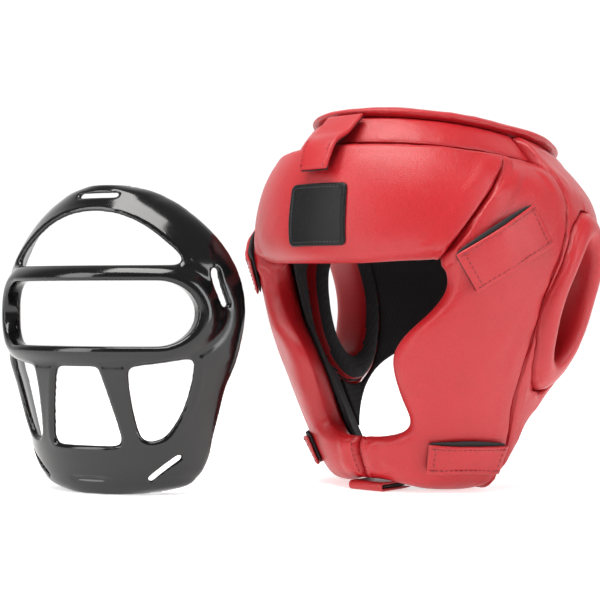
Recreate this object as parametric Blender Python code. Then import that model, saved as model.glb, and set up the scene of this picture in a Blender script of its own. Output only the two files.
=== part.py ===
# Boxing headgear with its face grill, the two stood side by side.
# Metres, +Z up. The wearer faces -Y, and the wearer's left is +X.

import math

import bmesh
import bpy
import numpy as np

# Driving sizes of the padded shell
SHELL_HEIGHT = 0.250
HALF_WIDTH = 0.116
FRONT_REACH = 0.120
BACK_REACH = 0.131
CROWN_FALL = 0.028
FALL_FROM = 0.58
BAND_TOP = 0.91
CROWN_TOP = 0.988

# Padding, lining and the gaps between sewn pieces
FRONT_PAD = 0.025
BACK_PAD = 0.015
CROWN_PAD = 0.012
CROWN_INSET = 0.008
TOP_PAD = 0.007
TOP_OVERHANG = 0.0015
TOP_DOME = 0.006
LINING_THICKNESS = 0.003
LINING_CLEARANCE = 0.0018
LINING_MARGIN = 0.010
NECK_MARGIN = 0.003
LINING_LAP = 0.014
LINING_GAP = 0.006
SEAM_GAP = 0.0008
CLEARANCE = 0.0004
SEAM_DIP = 0.0035
SEAM_WIDTH = 0.010
GRID_STEP = 0.019

# Ear openings, measured on the side of the shell
EAR_CENTRE_BACK = BACK_REACH * 0.13
EAR_CENTRE_UP = SHELL_HEIGHT * 0.496
EAR_RING_HALF_WIDTH = 0.034
EAR_RING_HALF_HEIGHT = SHELL_HEIGHT * 0.24
EAR_HOLE_HALF_WIDTH = 0.0165
EAR_HOLE_HALF_HEIGHT = SHELL_HEIGHT * 0.152
EAR_LEAN = math.radians(12.0)
EAR_BULGE = 0.006
EAR_SIDES = 28

# Straps and the bare patch
STRAP_THICKNESS = 0.0045
STRAP_LIFT = 0.0008
TOP_STRAP_WIDTH = 0.028
TEMPLE_STRAP_WIDTH = 0.029
JAW_STRAP_WIDTH = 0.021
CHIN_STRAP_WIDTH = 0.027
CHIN_STRAP_LENGTH = 0.034
CHIN_STRAP_HEIGHT = 0.006
CHIN_STRAP_FRONT = 0.068
PATCH_WIDTH = 0.046
PATCH_HEIGHT = 0.040
PATCH_UP = SHELL_HEIGHT * 0.716
PATCH_THICKNESS = 0.0015

# Face grill
GRILL_HEIGHT = 0.200
GRILL_HALF_WIDTH = 0.090
GRILL_DEPTH = 0.092
GRILL_WALL = 0.0045
GRILL_SET_BACK = 0.031
GRILL_ROUNDNESS = 2.2
GRILL_EDGE_SHARE = 0.965
GRILL_COLUMNS = 26
EYE_HALF_WIDTH = GRILL_HALF_WIDTH * 0.81
EYE_HALF_HEIGHT = GRILL_HEIGHT * 0.1025
EYE_UP = GRILL_HEIGHT * 0.5825
EYE_LIP = 0.003
EYE_LIP_DEPTH = 0.005
EYE_LIP_WIDTH = 0.008
SLOT_WIDTH = 0.003
GRILL_ACROSS = -0.116
GRILL_AHEAD = -0.217
GRILL_TURN = math.radians(15.0)

# The shell's outline, a row for each height.
# Columns: height share, half width share, front reach share, back reach share
SECTIONS = (
    (0.00, 0.53, 0.58, 0.50),
    (0.06, 0.59, 0.63, 0.56),
    (0.16, 0.68, 0.71, 0.66),
    (0.26, 0.76, 0.80, 0.75),
    (0.38, 0.87, 0.89, 0.87),
    (0.50, 0.94, 0.96, 0.96),
    (0.60, 1.00, 1.00, 0.98),
    (0.74, 0.98, 0.99, 1.00),
    (0.84, 0.925, 0.950, 0.99),
    (0.88, 0.870, 0.910, 0.965),
    (0.91, 0.815, 0.870, 0.945),
    (0.988, 0.67, 0.775, 0.90),
)

# The side panel from the chin seam round the jaw and up to the crown.
# Columns: inner edge angle, inner edge height share, outer edge angle, outer edge height share
SIDE_ROWS = (
    (0.0, 0.146, 0.0, 0.030),
    (13.0, 0.148, 15.0, 0.024),
    (24.0, 0.156, 31.0, 0.010),
    (31.0, 0.176, 50.0, 0.000),
    (30.5, 0.208, 70.0, 0.000),
    (27.0, 0.252, 86.0, 0.003),
    (24.5, 0.300, 82.0, 0.140),
    (23.5, 0.345, 78.5, 0.250),
    (25.0, 0.378, 78.0, 0.350),
    (30.0, 0.418, 79.5, 0.440),
    (36.0, 0.450, 80.5, 0.520),
    (42.5, 0.492, 82.0, 0.580),
    (45.5, 0.550, 84.5, 0.640),
    (41.0, 0.600, 89.0, 0.720),
    (50.5, 0.702, 91.0, 0.785),
    (60.2, 0.806, 91.0, 0.850),
    (70.0, 0.910, 90.5, 0.910),
)
BROW_ROW = 13
RIM_ROW = 0.03
JAW_ROW = 5

# The rim round the neck, from the jaw's corner to the nape.
# Columns: angle, height share
NECK_RIM = (
    (86.0, 0.003),
    (90.5, 0.105),
    (97.0, 0.190),
    (106.0, 0.255),
    (118.0, 0.310),
    (132.0, 0.350),
    (155.0, 0.382),
    (180.0, 0.390),
)

# Grill outline and curve, a row for each height.
# Columns: height share, half width share, depth share, set back share
GRILL_ROWS = (
    (0.000, 0.40, 0.46, 0.75),
    (0.018, 0.55, 0.52, 0.70),
    (0.055, 0.66, 0.60, 0.60),
    (0.110, 0.73, 0.68, 0.48),
    (0.180, 0.77, 0.74, 0.36),
    (0.260, 0.82, 0.80, 0.24),
    (0.340, 0.87, 0.86, 0.12),
    (0.420, 0.94, 0.94, 0.02),
    (0.500, 0.98, 0.98, 0.00),
    (0.580, 1.00, 1.00, 0.00),
    (0.650, 0.99, 0.98, 0.03),
    (0.720, 0.95, 0.92, 0.10),
    (0.780, 0.88, 0.84, 0.22),
    (0.840, 0.78, 0.72, 0.38),
    (0.900, 0.64, 0.56, 0.58),
    (0.950, 0.48, 0.40, 0.80),
    (0.985, 0.30, 0.26, 0.94),
    (1.000, 0.16, 0.18, 1.00),
)

# Grill openings in front view, half outlines as shares of half width and height.
# Columns: across share, height share
BROW_WINDOW = (
    (0.00, 0.912), (0.16, 0.905), (0.30, 0.888), (0.44, 0.858), (0.57, 0.815),
    (0.67, 0.775), (0.705, 0.752), (0.69, 0.738), (0.64, 0.735), (0.00, 0.735),
)
MOUTH_WINDOW = (
    (0.00, 0.415), (0.165, 0.415), (0.185, 0.400), (0.285, 0.200), (0.275, 0.172),
    (0.245, 0.163), (0.00, 0.163),
)
CHEEK_WINDOW = (
    (0.41, 0.415), (0.60, 0.425), (0.77, 0.440), (0.785, 0.425), (0.75, 0.360),
    (0.68, 0.270), (0.58, 0.195), (0.50, 0.178), (0.43, 0.182), (0.405, 0.215),
    (0.385, 0.310), (0.388, 0.400),
)
# Slot ends. Columns: across share, height share, across share, height share
SLOT_ENDS = (
    (-0.155, 0.962, 0.155, 0.962),
    (-0.155, 0.052, 0.155, 0.052),
    (0.865, 0.720, 0.930, 0.610),
    (0.430, 0.055, 0.620, 0.125),
)

# Colours, roughness
RED_LEATHER = ("red_leather", (0.48, 0.022, 0.028, 1.0), 0.42)
BLACK_FABRIC = ("black_fabric", (0.012, 0.011, 0.012, 1.0), 0.85)
BLACK_PATCH = ("black_patch", (0.010, 0.010, 0.011, 1.0), 0.55)
BLACK_PLASTIC = ("black_plastic", (0.014, 0.014, 0.016, 1.0), 0.22)


def clear_scene():
    for obj in list(bpy.data.objects):
        bpy.data.objects.remove(obj, do_unlink=True)


def material(finish):
    name, colour, roughness = finish
    found = bpy.data.materials.get(name)
    if found is None:
        found = bpy.data.materials.new(name)
        found.use_nodes = True
        shader = found.node_tree.nodes["Principled BSDF"]
        shader.inputs["Base Color"].default_value = colour
        shader.inputs["Roughness"].default_value = roughness
        shader.inputs["Metallic"].default_value = 0.0
    return found


def smooth_column(rows, column, at):
    """Read a table's column with a smooth curve through its rows."""
    x = np.array([row[0] for row in rows])
    y = np.array([row[column] for row in rows])
    slope = np.gradient(y, x)
    at = np.clip(np.asarray(at, dtype=float), x[0], x[-1])
    i = np.clip(np.searchsorted(x, at, side="right") - 1, 0, len(x) - 2)
    h = x[i + 1] - x[i]
    t = (at - x[i]) / h
    a = (2 * t**3 - 3 * t**2 + 1) * y[i] + (t**3 - 2 * t**2 + t) * h * slope[i]
    return a + (3 * t**2 - 2 * t**3) * y[i + 1] + (t**3 - t**2) * h * slope[i + 1]


def shell_reach(up_share, angle):
    """Half width, and the reach ahead or behind, of the shell at a height share."""
    wide = HALF_WIDTH * smooth_column(SECTIONS, 1, up_share)
    ahead = FRONT_REACH * smooth_column(SECTIONS, 2, up_share)
    behind = BACK_REACH * smooth_column(SECTIONS, 3, up_share)
    return wide, np.where(np.cos(angle) > 0, ahead, behind)


def shell_point(degrees, up_share, depth=0.0):
    """A point of the shell, so far round from the front, so high, and so deep in the padding."""
    angle = np.radians(np.asarray(degrees, dtype=float))
    up_share = np.asarray(up_share, dtype=float)
    wide, along = shell_reach(up_share, angle)
    x = (wide - depth) * np.sin(angle)
    y = -(along - depth) * np.cos(angle)
    tilt = np.clip((up_share - FALL_FROM) / (BAND_TOP - FALL_FROM), 0.0, 1.0)
    back = (y + FRONT_REACH) / (FRONT_REACH + BACK_REACH)
    z = SHELL_HEIGHT * up_share - CROWN_FALL * tilt * back
    return np.stack([x, y, z], axis=-1)


def stations(length, first_round, last_round, step=GRID_STEP):
    """Shares along a span, closer together where its ends are rounded."""
    first = [first_round * k for k in (0.0, 0.3)]
    last = [length - last_round * k for k in (0.3, 0.0)]
    run = length - first_round - last_round
    count = max(2, int(round(run / step)) + 1)
    middle = list(np.linspace(first_round, length - last_round, count))
    return np.array(first + middle + last) / length


def rounded_drop(distance, width, depth):
    """How far a pad's face has curved in, so far from its edge."""
    inside = np.clip(1.0 - distance / width, 0.0, 1.0)
    return depth * (1.0 - np.sqrt(np.clip(1.0 - inside**2, 0.0, 1.0)))


def edge_distances(grid):
    """Distance of each grid point from the first and last row and column."""
    along = np.linalg.norm(np.diff(grid, axis=0), axis=2)
    across = np.linalg.norm(np.diff(grid, axis=1), axis=2)
    rows = np.vstack([np.zeros(grid.shape[1]), np.cumsum(along, axis=0)])
    cols = np.hstack([np.zeros((grid.shape[0], 1)), np.cumsum(across, axis=1)])
    return rows, rows[-1] - rows, cols, cols[:, -1:] - cols


def pad_depths(grid, thickness, edges):
    """Depth of the outer and the inner face. Edges are free or seam, in row and column order."""
    outer = np.zeros(grid.shape[:2])
    inner = thickness + np.zeros(grid.shape[:2])
    for distance, kind in zip(edge_distances(grid), edges):
        free = kind == "free"
        width = thickness * 0.62 if free else SEAM_WIDTH
        dip_out = thickness * 0.47 if free else SEAM_DIP
        dip_in = thickness * 0.47 if free else SEAM_DIP * 0.3
        outer = np.maximum(outer, rounded_drop(distance, width, dip_out))
        inner = np.minimum(inner, thickness - rounded_drop(distance, width, dip_in))
    return outer, inner


def make_object(name, points, faces, finish):
    mesh = bpy.data.meshes.new(name)
    mesh.from_pydata([tuple(p) for p in points], [], faces)
    bm = bmesh.new()
    bm.from_mesh(mesh)
    bmesh.ops.remove_doubles(bm, verts=bm.verts, dist=0.00002)
    bmesh.ops.recalc_face_normals(bm, faces=bm.faces)
    bm.to_mesh(mesh)
    bm.free()
    mesh.materials.append(material(finish))
    mesh.shade_smooth()
    mesh.set_sharp_from_angle(angle=math.radians(40.0))
    obj = bpy.data.objects.new(name, mesh)
    bpy.context.collection.objects.link(obj)
    return obj


def slab(name, outer, inner, finish):
    """A closed solid between two grids of points with the same rows and columns."""
    rows, cols = outer.shape[:2]
    points = np.concatenate([outer.reshape(-1, 3), inner.reshape(-1, 3)])
    shift = rows * cols
    faces = []
    for r in range(rows - 1):
        for c in range(cols - 1):
            quad = [r * cols + c, r * cols + c + 1, (r + 1) * cols + c + 1, (r + 1) * cols + c]
            faces.append(quad)
            faces.append([shift + k for k in reversed(quad)])
    rim = [c for c in range(cols)]
    rim += [r * cols + cols - 1 for r in range(1, rows)]
    rim += [(rows - 1) * cols + c for c in range(cols - 2, -1, -1)]
    rim += [r * cols for r in range(rows - 2, 0, -1)]
    for k, here in enumerate(rim):
        after = rim[(k + 1) % len(rim)]
        faces.append([here, shift + here, shift + after, after])
    return make_object(name, points, faces, finish)


def side_edges(at):
    """Inner and outer edge of the side panel at a place along its rows."""
    places = np.arange(len(SIDE_ROWS))
    return [np.interp(at, places, [row[k] for row in SIDE_ROWS]) for k in range(4)]


def side_grid(last, trim_ends, trim_edges, coarse=1, lap=0.0):
    """Angles, height shares and thickness of the side panel, trimmed back from its edges."""
    at = np.append(np.arange(math.ceil(last)), last).astype(float)
    at[0] += trim_ends
    at[-1] -= trim_ends
    inner_angle, inner_up, outer_angle, outer_up = side_edges(at)
    a = shell_point(inner_angle, inner_up)
    b = shell_point(outer_angle, outer_up)
    width = np.linalg.norm(a - b, axis=1)[:, None]
    spread = stations(float(np.mean(width)), FRONT_PAD * 0.62, SEAM_WIDTH, GRID_STEP * coarse)
    behind_jaw = np.clip((at - JAW_ROW) / 3.0, 0.0, 1.0)[:, None]
    reach = 1.0 - (2.0 * trim_edges - (lap + trim_edges) * behind_jaw * (lap > 0.0)) / width
    share = trim_edges / width + spread[None, :] * reach
    degrees = inner_angle[:, None] + (outer_angle - inner_angle)[:, None] * share
    ups = inner_up[:, None] + (outer_up - inner_up)[:, None] * share
    thinning = (FRONT_PAD - BACK_PAD) * np.clip(share, 0.0, 1.0) ** 1.5 * behind_jaw
    return degrees, ups, FRONT_PAD - thinning


def side_panel(name, side):
    """Temple, cheek and jaw padding in one sewn panel, up to the seam at the chin."""
    degrees, ups, pad = side_grid(len(SIDE_ROWS) - 1, 0.02, SEAM_GAP / 2)
    nominal = shell_point(degrees, ups)
    opening = pad_depths(nominal, pad, ("seam", "seam", "free", "seam"))
    forehead = pad_depths(nominal, pad, ("seam", "seam", "seam", "seam"))
    jaw = pad_depths(nominal, pad, ("seam", "seam", "free", "free"))
    row_place = np.linspace(0, len(SIDE_ROWS) - 1, len(degrees))[:, None]
    to_forehead = np.clip(row_place - BROW_ROW + 0.5, 0.0, 1.0)
    to_jaw = np.clip(JAW_ROW - row_place, 0.0, 1.0)
    depths = []
    for a, b, c in zip(opening, forehead, jaw):
        upper = a * (1 - to_forehead) + b * to_forehead
        depths.append(upper * (1 - to_jaw) + c * to_jaw)
    outer = shell_point(degrees * side, ups, depths[0])
    inner = shell_point(degrees * side, ups, depths[1])
    return slab(name, outer, inner, RED_LEATHER)


def forehead_grid(trim_ends, trim_edges, coarse=1):
    seam = SIDE_ROWS[BROW_ROW], SIDE_ROWS[-1]
    half_width = math.radians(seam[0][0] + seam[1][0]) / 2 * HALF_WIDTH
    across = stations(2 * half_width, SEAM_WIDTH, SEAM_WIDTH, GRID_STEP * coarse) * 2 - 1
    across = across * (1.0 - trim_edges / half_width)
    height = (seam[1][1] - seam[0][1]) * SHELL_HEIGHT
    rise = stations(height, FRONT_PAD * 0.62, SEAM_WIDTH, GRID_STEP * coarse)
    rise = trim_ends / height + rise * (1.0 - 2.0 * trim_ends / height)
    bottom_up = seam[0][1] - 0.010 * (1 - across**2)
    degrees = (seam[0][0] + (seam[1][0] - seam[0][0]) * rise[:, None]) * across[None, :]
    ups = bottom_up[None, :] + (seam[1][1] - bottom_up)[None, :] * rise[:, None]
    return degrees, ups


def forehead_pad():
    degrees, ups = forehead_grid(SEAM_GAP / 2, SEAM_GAP / 2)
    nominal = shell_point(degrees, ups)
    depths = pad_depths(nominal, FRONT_PAD, ("free", "seam", "seam", "seam"))
    outer = shell_point(degrees, ups, depths[0])
    inner = shell_point(degrees, ups, depths[1])
    return slab("forehead_pad", outer, inner, RED_LEATHER)


def back_grid(trim_ends, trim_edges, coarse=1):
    """Angles and height shares of the back panel, seam to seam round the nape."""
    seam_up = np.array([row[3] for row in SIDE_ROWS[JAW_ROW:]] + [CROWN_TOP])
    seam_angle = np.array([row[2] for row in SIDE_ROWS[JAW_ROW:]] + [SIDE_ROWS[-1][2]])
    half = math.radians(180.0 - float(np.mean(seam_angle))) * BACK_REACH
    across = stations(2 * half, SEAM_WIDTH, SEAM_WIDTH, GRID_STEP * coarse) * 2 - 1
    across = across * (1.0 - trim_edges / half)
    round_to_nape = 1.0 - np.abs(across)
    rim_angle = np.array([row[0] for row in NECK_RIM])
    rim_up = np.array([row[1] for row in NECK_RIM])
    low = np.interp(seam_angle[0] + (180.0 - seam_angle[0]) * round_to_nape, rim_angle, rim_up)
    for _ in range(6):
        start = np.interp(low, seam_up, seam_angle)
        low = np.interp(start + (180.0 - start) * round_to_nape, rim_angle, rim_up)
    height = (CROWN_TOP - NECK_RIM[-1][1]) * SHELL_HEIGHT
    rise = (seam_up - seam_up[0]) / (seam_up[-1] - seam_up[0])
    rise = np.insert(rise, 1, RIM_ROW)
    rise[0] += trim_ends / height
    rise[-1] -= trim_ends / height
    ups = low[None, :] + (CROWN_TOP - low)[None, :] * rise[:, None]
    start = np.interp(ups, seam_up, seam_angle)
    degrees = 180.0 - np.sign(across)[None, :] * (180.0 - start) * (1 - round_to_nape)[None, :]
    return degrees, ups


def back_panel():
    degrees, ups = back_grid(SEAM_GAP / 2, SEAM_GAP / 2)
    nominal = shell_point(degrees, ups)
    depths = pad_depths(nominal, BACK_PAD, ("free", "seam", "seam", "seam"))
    outer = shell_point(degrees, ups, depths[0])
    inner = shell_point(degrees, ups, depths[1])
    return slab("back_panel", outer, inner, RED_LEATHER)


def crown_band():
    """The raised band above the forehead and temples, set in from them."""
    end = SIDE_ROWS[-1][2]
    half = math.radians(end) * HALF_WIDTH
    across = stations(2 * half, SEAM_WIDTH, SEAM_WIDTH) * 2 - 1
    across = across * (1.0 - SEAM_GAP / half)
    height = (CROWN_TOP - BAND_TOP) * SHELL_HEIGHT
    rise = stations(height, SEAM_WIDTH / 2, SEAM_WIDTH / 2)
    rise = SEAM_GAP / height + rise * (1.0 - SEAM_GAP * 1.5 / height)
    degrees = end * across[None, :] + 0.0 * rise[:, None]
    ups = BAND_TOP + (CROWN_TOP - BAND_TOP) * rise[:, None] + 0.0 * across[None, :]
    nominal = shell_point(degrees, ups)
    depths = pad_depths(nominal, CROWN_PAD, ("seam", "seam", "seam", "seam"))
    outer = shell_point(degrees, ups, depths[0] * 0.6 + CROWN_INSET)
    inner = shell_point(degrees, ups, depths[1] + CROWN_INSET)
    return slab("crown_band", outer, inner, RED_LEATHER)


def top_cover():
    """The flat padded piece that closes the crown."""
    degrees = np.arange(36) * 10.0
    rim_in = np.where(np.cos(np.radians(degrees)) > -0.05, CROWN_INSET, 0.0)
    rim = shell_point(degrees, np.full(36, CROWN_TOP), rim_in - TOP_OVERHANG)
    centre = np.array([0.0, float(np.mean(rim[:, 1])), 0.0])
    centre[2] = float(np.mean(rim[:, 2]))
    # Columns: share of the way out, height above the crown, dome share
    rings = (
        (0.94, CLEARANCE, 0.0),
        (1.00, TOP_PAD * 0.35, 0.0),
        (1.00, TOP_PAD * 0.65, 0.0),
        (0.95, TOP_PAD, 0.05),
        (0.70, TOP_PAD, 0.50),
        (0.35, TOP_PAD, 0.88),
    )
    points = []
    for out, above, dome in rings:
        ring = centre + (rim - centre) * out
        ring[:, 2] += above + TOP_DOME * dome
        points += list(ring)
    points.append(centre + np.array([0.0, 0.0, TOP_PAD + TOP_DOME]))
    points.append(centre + np.array([0.0, 0.0, CLEARANCE]))
    count = len(degrees)
    faces = []
    for ring in range(len(rings) - 1):
        for k in range(count):
            a = ring * count + k
            b = ring * count + (k + 1) % count
            faces.append([a, b, b + count, a + count])
    crown = len(points) - 2
    floor = len(points) - 1
    last = (len(rings) - 1) * count
    for k in range(count):
        faces.append([last + k, last + (k + 1) % count, crown])
        faces.append([(k + 1) % count, k, floor])
    return make_object("top_cover", points, faces, RED_LEATHER)


def lining(name, degrees, ups, pad):
    outer = shell_point(degrees, ups, pad + LINING_CLEARANCE)
    inner = shell_point(degrees, ups, pad + LINING_CLEARANCE + LINING_THICKNESS)
    return slab(name, outer, inner, BLACK_FABRIC)


def ear_outline(half_width, half_height):
    """An upright oval on the side of the head, leaning back."""
    turn = np.linspace(0.0, 2.0 * math.pi, EAR_SIDES + 1)[:-1]
    y = half_width * np.cos(turn)
    z = half_height * np.sin(turn)
    back = EAR_CENTRE_BACK + y * math.cos(EAR_LEAN) + z * math.sin(EAR_LEAN)
    up = EAR_CENTRE_UP - y * math.sin(EAR_LEAN) + z * math.cos(EAR_LEAN)
    return back, up


def side_surface(back, up):
    """How far out the shell's side is at a place seen from the side."""
    up_share = up / SHELL_HEIGHT
    wide = HALF_WIDTH * smooth_column(SECTIONS, 1, up_share)
    ahead = FRONT_REACH * smooth_column(SECTIONS, 2, up_share)
    behind = BACK_REACH * smooth_column(SECTIONS, 3, up_share)
    along = np.where(back < 0, ahead, behind)
    return wide * np.sqrt(np.clip(1.0 - (back / along) ** 2, 0.0, 1.0))


def ear_ring(name, side):
    """A stuffed ring sewn round the ear opening."""
    deep = FRONT_PAD + LINING_THICKNESS + CLEARANCE
    # Columns: share from the hole to the outer edge, depth
    profile = (
        (1.00, deep * 0.55), (1.00, EAR_BULGE * 0.75), (0.93, -EAR_BULGE * 0.30),
        (0.72, -EAR_BULGE * 0.85), (0.48, -EAR_BULGE), (0.25, -EAR_BULGE * 0.75),
        (0.06, 0.0), (0.00, EAR_BULGE * 1.15), (0.00, deep * 0.80),
        (0.12, deep), (0.80, deep),
    )
    points = []
    for share, depth in profile:
        half_width = EAR_HOLE_HALF_WIDTH + (EAR_RING_HALF_WIDTH - EAR_HOLE_HALF_WIDTH) * share
        half_height = EAR_HOLE_HALF_HEIGHT + (EAR_RING_HALF_HEIGHT - EAR_HOLE_HALF_HEIGHT) * share
        back, up = ear_outline(half_width, half_height)
        out = side_surface(back, up) - depth
        points += list(np.stack([side * out, back, up], axis=-1))
    faces = []
    for ring in range(len(profile)):
        after = (ring + 1) % len(profile)
        for k in range(EAR_SIDES):
            j = (k + 1) % EAR_SIDES
            faces.append([ring * EAR_SIDES + k, ring * EAR_SIDES + j,
                          after * EAR_SIDES + j, after * EAR_SIDES + k])
    return make_object(name, points, faces, RED_LEATHER)


def prism_cutter(name, outlines, near, far):
    """Prisms over closed outlines. Near and far turn an outline into its two ends."""
    points = []
    faces = []
    for outline in outlines:
        start = len(points)
        count = len(outline)
        points += near(outline) + far(outline)
        faces.append([start + k for k in range(count)])
        faces.append([start + count + k for k in range(count - 1, -1, -1)])
        for k in range(count):
            j = (k + 1) % count
            faces.append([start + k, start + count + k, start + count + j, start + j])
    cutter = make_object(name, points, faces, RED_LEATHER)
    cutter.hide_render = True
    cutter.display_type = "WIRE"
    return cutter


def ear_cutter():
    """Two prisms that clear the ear rings through the padding."""
    room = CLEARANCE * 1.5
    back, up = ear_outline(EAR_RING_HALF_WIDTH + room, EAR_RING_HALF_HEIGHT + room)
    outlines = [[(side, b, u) for b, u in zip(back, up)] for side in (1, -1)]

    def end(out):
        return lambda outline: [(side * out, b, u) for side, b, u in outline]

    return prism_cutter("ear_cutter", outlines, end(HALF_WIDTH * 0.40), end(HALF_WIDTH * 1.30))


def cut(obj, cutter):
    modifier = obj.modifiers.new("cut", "BOOLEAN")
    modifier.operation = "DIFFERENCE"
    modifier.solver = "EXACT"
    modifier.object = cutter


def ribbon(name, middle, outward, width, thickness, finish, taper=1.0):
    """A flat strap along a path. Its underside follows the path."""
    middle = np.asarray(middle)
    along = np.gradient(middle, axis=0)
    along /= np.linalg.norm(along, axis=1)[:, None]
    outward = np.asarray(outward)
    outward = outward - along * np.sum(outward * along, axis=1)[:, None]
    outward /= np.linalg.norm(outward, axis=1)[:, None]
    across = np.cross(along, outward)
    half = width / 2 * np.linspace(1.0, taper, len(middle))[:, None]
    left = middle - across * half
    right = middle + across * half
    lower = np.stack([left, right], axis=1)
    upper = lower + outward[:, None, :] * thickness
    return slab(name, upper, lower, finish)


def shell_strap(name, side, start, end, width):
    """A strap laid on the shell between two places given as angle and height share."""
    steps = np.linspace(0.0, 1.0, 8)
    degrees = start[0] + (end[0] - start[0]) * steps
    ups = start[1] + (end[1] - start[1]) * steps
    base = shell_point(degrees * side, ups)
    ahead = shell_point(degrees * side + 0.5, ups) - shell_point(degrees * side - 0.5, ups)
    rise = shell_point(degrees * side, ups + 0.005) - shell_point(degrees * side, ups - 0.005)
    outward = np.cross(ahead, rise)
    outward /= np.linalg.norm(outward, axis=1)[:, None]
    return ribbon(name, base + outward * STRAP_LIFT, outward, width, STRAP_THICKNESS, RED_LEATHER)


def top_strap():
    """The strap that comes from under the top cover, over the step, down to the forehead."""
    start = shell_point(0.0, CROWN_TOP, CROWN_INSET)
    step = shell_point(0.0, BAND_TOP + 0.012, CROWN_INSET * 0.5)
    shoulder = shell_point(0.0, 0.885)
    tip = shell_point(0.0, 0.825)
    # Columns: place, lift outwards, direction outwards as y and z
    stops = (
        (start, STRAP_LIFT * 1.1, (-1.0, 0.10)),
        (step, STRAP_LIFT * 3.0, (-1.0, 0.30)),
        (shoulder, STRAP_LIFT * 4.25, (-1.0, 0.62)),
        (shell_point(0.0, 0.855), STRAP_LIFT * 2.75, (-1.0, 0.40)),
        (tip, STRAP_LIFT * 2.0, (-1.0, 0.22)),
    )
    middle = []
    outward = []
    for place, lift, (y, z) in stops:
        direction = np.array([0.0, y, z]) / math.hypot(y, z)
        middle.append(place + direction * lift)
        outward.append(direction)
    middle[0][2] -= CLEARANCE * 4
    return ribbon("top_strap", middle, outward, TOP_STRAP_WIDTH, STRAP_THICKNESS, RED_LEATHER, 0.82)


def chin_strap():
    """The loop under the chin, pressed flat where it rests."""
    half = CHIN_STRAP_WIDTH / 2
    round_end = CHIN_STRAP_HEIGHT / 2
    turn = np.linspace(-math.pi / 2, math.pi / 2, 5)
    front = -CHIN_STRAP_FRONT + round_end
    back = -CHIN_STRAP_FRONT + CHIN_STRAP_LENGTH - round_end
    outline = [(front - round_end * math.cos(t), round_end + round_end * math.sin(t)) for t in turn]
    outline += [(back + round_end * math.cos(t), round_end - round_end * math.sin(t)) for t in turn]
    count = len(outline)
    points = [(x, y, z) for x in (-half, half) for y, z in outline]
    faces = [list(range(count)), list(range(2 * count - 1, count - 1, -1))]
    for k in range(count):
        j = (k + 1) % count
        faces.append([k, j, count + j, count + k])
    return make_object("chin_strap", points, faces, RED_LEATHER)


def label_patch():
    """The bare patch sewn on the forehead."""
    half_angle = math.degrees(math.asin(PATCH_WIDTH / 2 / HALF_WIDTH))
    degrees = np.linspace(-half_angle, half_angle, 7)[None, :] + np.zeros((6, 1))
    low = (PATCH_UP - PATCH_HEIGHT / 2) / SHELL_HEIGHT
    high = (PATCH_UP + PATCH_HEIGHT / 2) / SHELL_HEIGHT
    ups = np.linspace(low, high, 6)[:, None] + np.zeros((1, 7))
    outer = shell_point(degrees, ups, -(CLEARANCE + PATCH_THICKNESS))
    inner = shell_point(degrees, ups, -CLEARANCE)
    return slab("label_patch", outer, inner, BLACK_PATCH)


def grill_curve(across, up_share):
    """A point of the grill's curved wall, placed by its front view."""
    half = GRILL_HALF_WIDTH * smooth_column(GRILL_ROWS, 1, up_share)
    deep = GRILL_DEPTH * smooth_column(GRILL_ROWS, 2, up_share)
    back = GRILL_SET_BACK * smooth_column(GRILL_ROWS, 3, up_share)
    x = across * half
    bend = np.clip(np.abs(across) * GRILL_EDGE_SHARE, 0.0, 1.0) ** GRILL_ROUNDNESS
    set_back = deep * (1.0 - (1.0 - bend) ** (1.0 / GRILL_ROUNDNESS))
    z = GRILL_HEIGHT * up_share
    return np.stack([x, back + set_back, z], axis=-1)


def eye_distance(x, z):
    """Distance outside the edge of the eye opening, in front view."""
    core = EYE_HALF_WIDTH - EYE_HALF_HEIGHT
    dx = np.clip(np.abs(x) - core, 0.0, None)
    return np.hypot(dx, z - EYE_UP) - EYE_HALF_HEIGHT


def grill_wall():
    """The grill's curved wall before its openings are cut."""
    ups = np.array([row[0] for row in GRILL_ROWS])
    halfway = (ups[1:] + ups[:-1]) / 2
    near_eye = np.abs(halfway * GRILL_HEIGHT - EYE_UP) < EYE_HALF_HEIGHT + 2 * EYE_LIP_WIDTH
    ups = np.sort(np.concatenate([ups, halfway[near_eye]]))
    turn = np.linspace(-1.0, 1.0, GRILL_COLUMNS + 1)
    across = np.sign(turn) * (1.0 - (1.0 - np.abs(turn)) ** 1.25)
    grid_across = across[None, :] + 0.0 * ups[:, None]
    grid_ups = ups[:, None] + 0.0 * across[None, :]
    face = grill_curve(grid_across, grid_ups)
    along = np.gradient(face, axis=1)
    rise = np.gradient(face, axis=0)
    outward = np.cross(along, rise)
    outward[:, :, 2] = 0.0
    outward /= np.linalg.norm(outward, axis=2)[:, :, None]
    gap = eye_distance(face[:, :, 0], face[:, :, 2])
    lip = np.exp(-((gap - EYE_LIP_WIDTH * 0.4) / EYE_LIP_WIDTH) ** 2)
    outer = face + outward * (EYE_LIP * lip)[:, :, None]
    inner = face - outward * (GRILL_WALL + EYE_LIP_DEPTH * lip)[:, :, None]
    return slab("face_grill", outer, inner, BLACK_PLASTIC)


def eye_outline():
    core = EYE_HALF_WIDTH - EYE_HALF_HEIGHT
    turn = np.linspace(-math.pi / 2, math.pi / 2, 9)
    right = [(core + EYE_HALF_HEIGHT * math.cos(t), EYE_UP + EYE_HALF_HEIGHT * math.sin(t)) for t in turn]
    left = [(-x, z) for x, z in reversed(right)]
    return right + left


def window_outline(half):
    right = [(x * GRILL_HALF_WIDTH, z * GRILL_HEIGHT) for x, z in half]
    left = [(-x, z) for x, z in reversed(right) if x > 0.0]
    return right + left


def cheek_outline(side):
    outline = [(side * x * GRILL_HALF_WIDTH, z * GRILL_HEIGHT) for x, z in CHEEK_WINDOW]
    return outline if side > 0 else outline[::-1]


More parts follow.
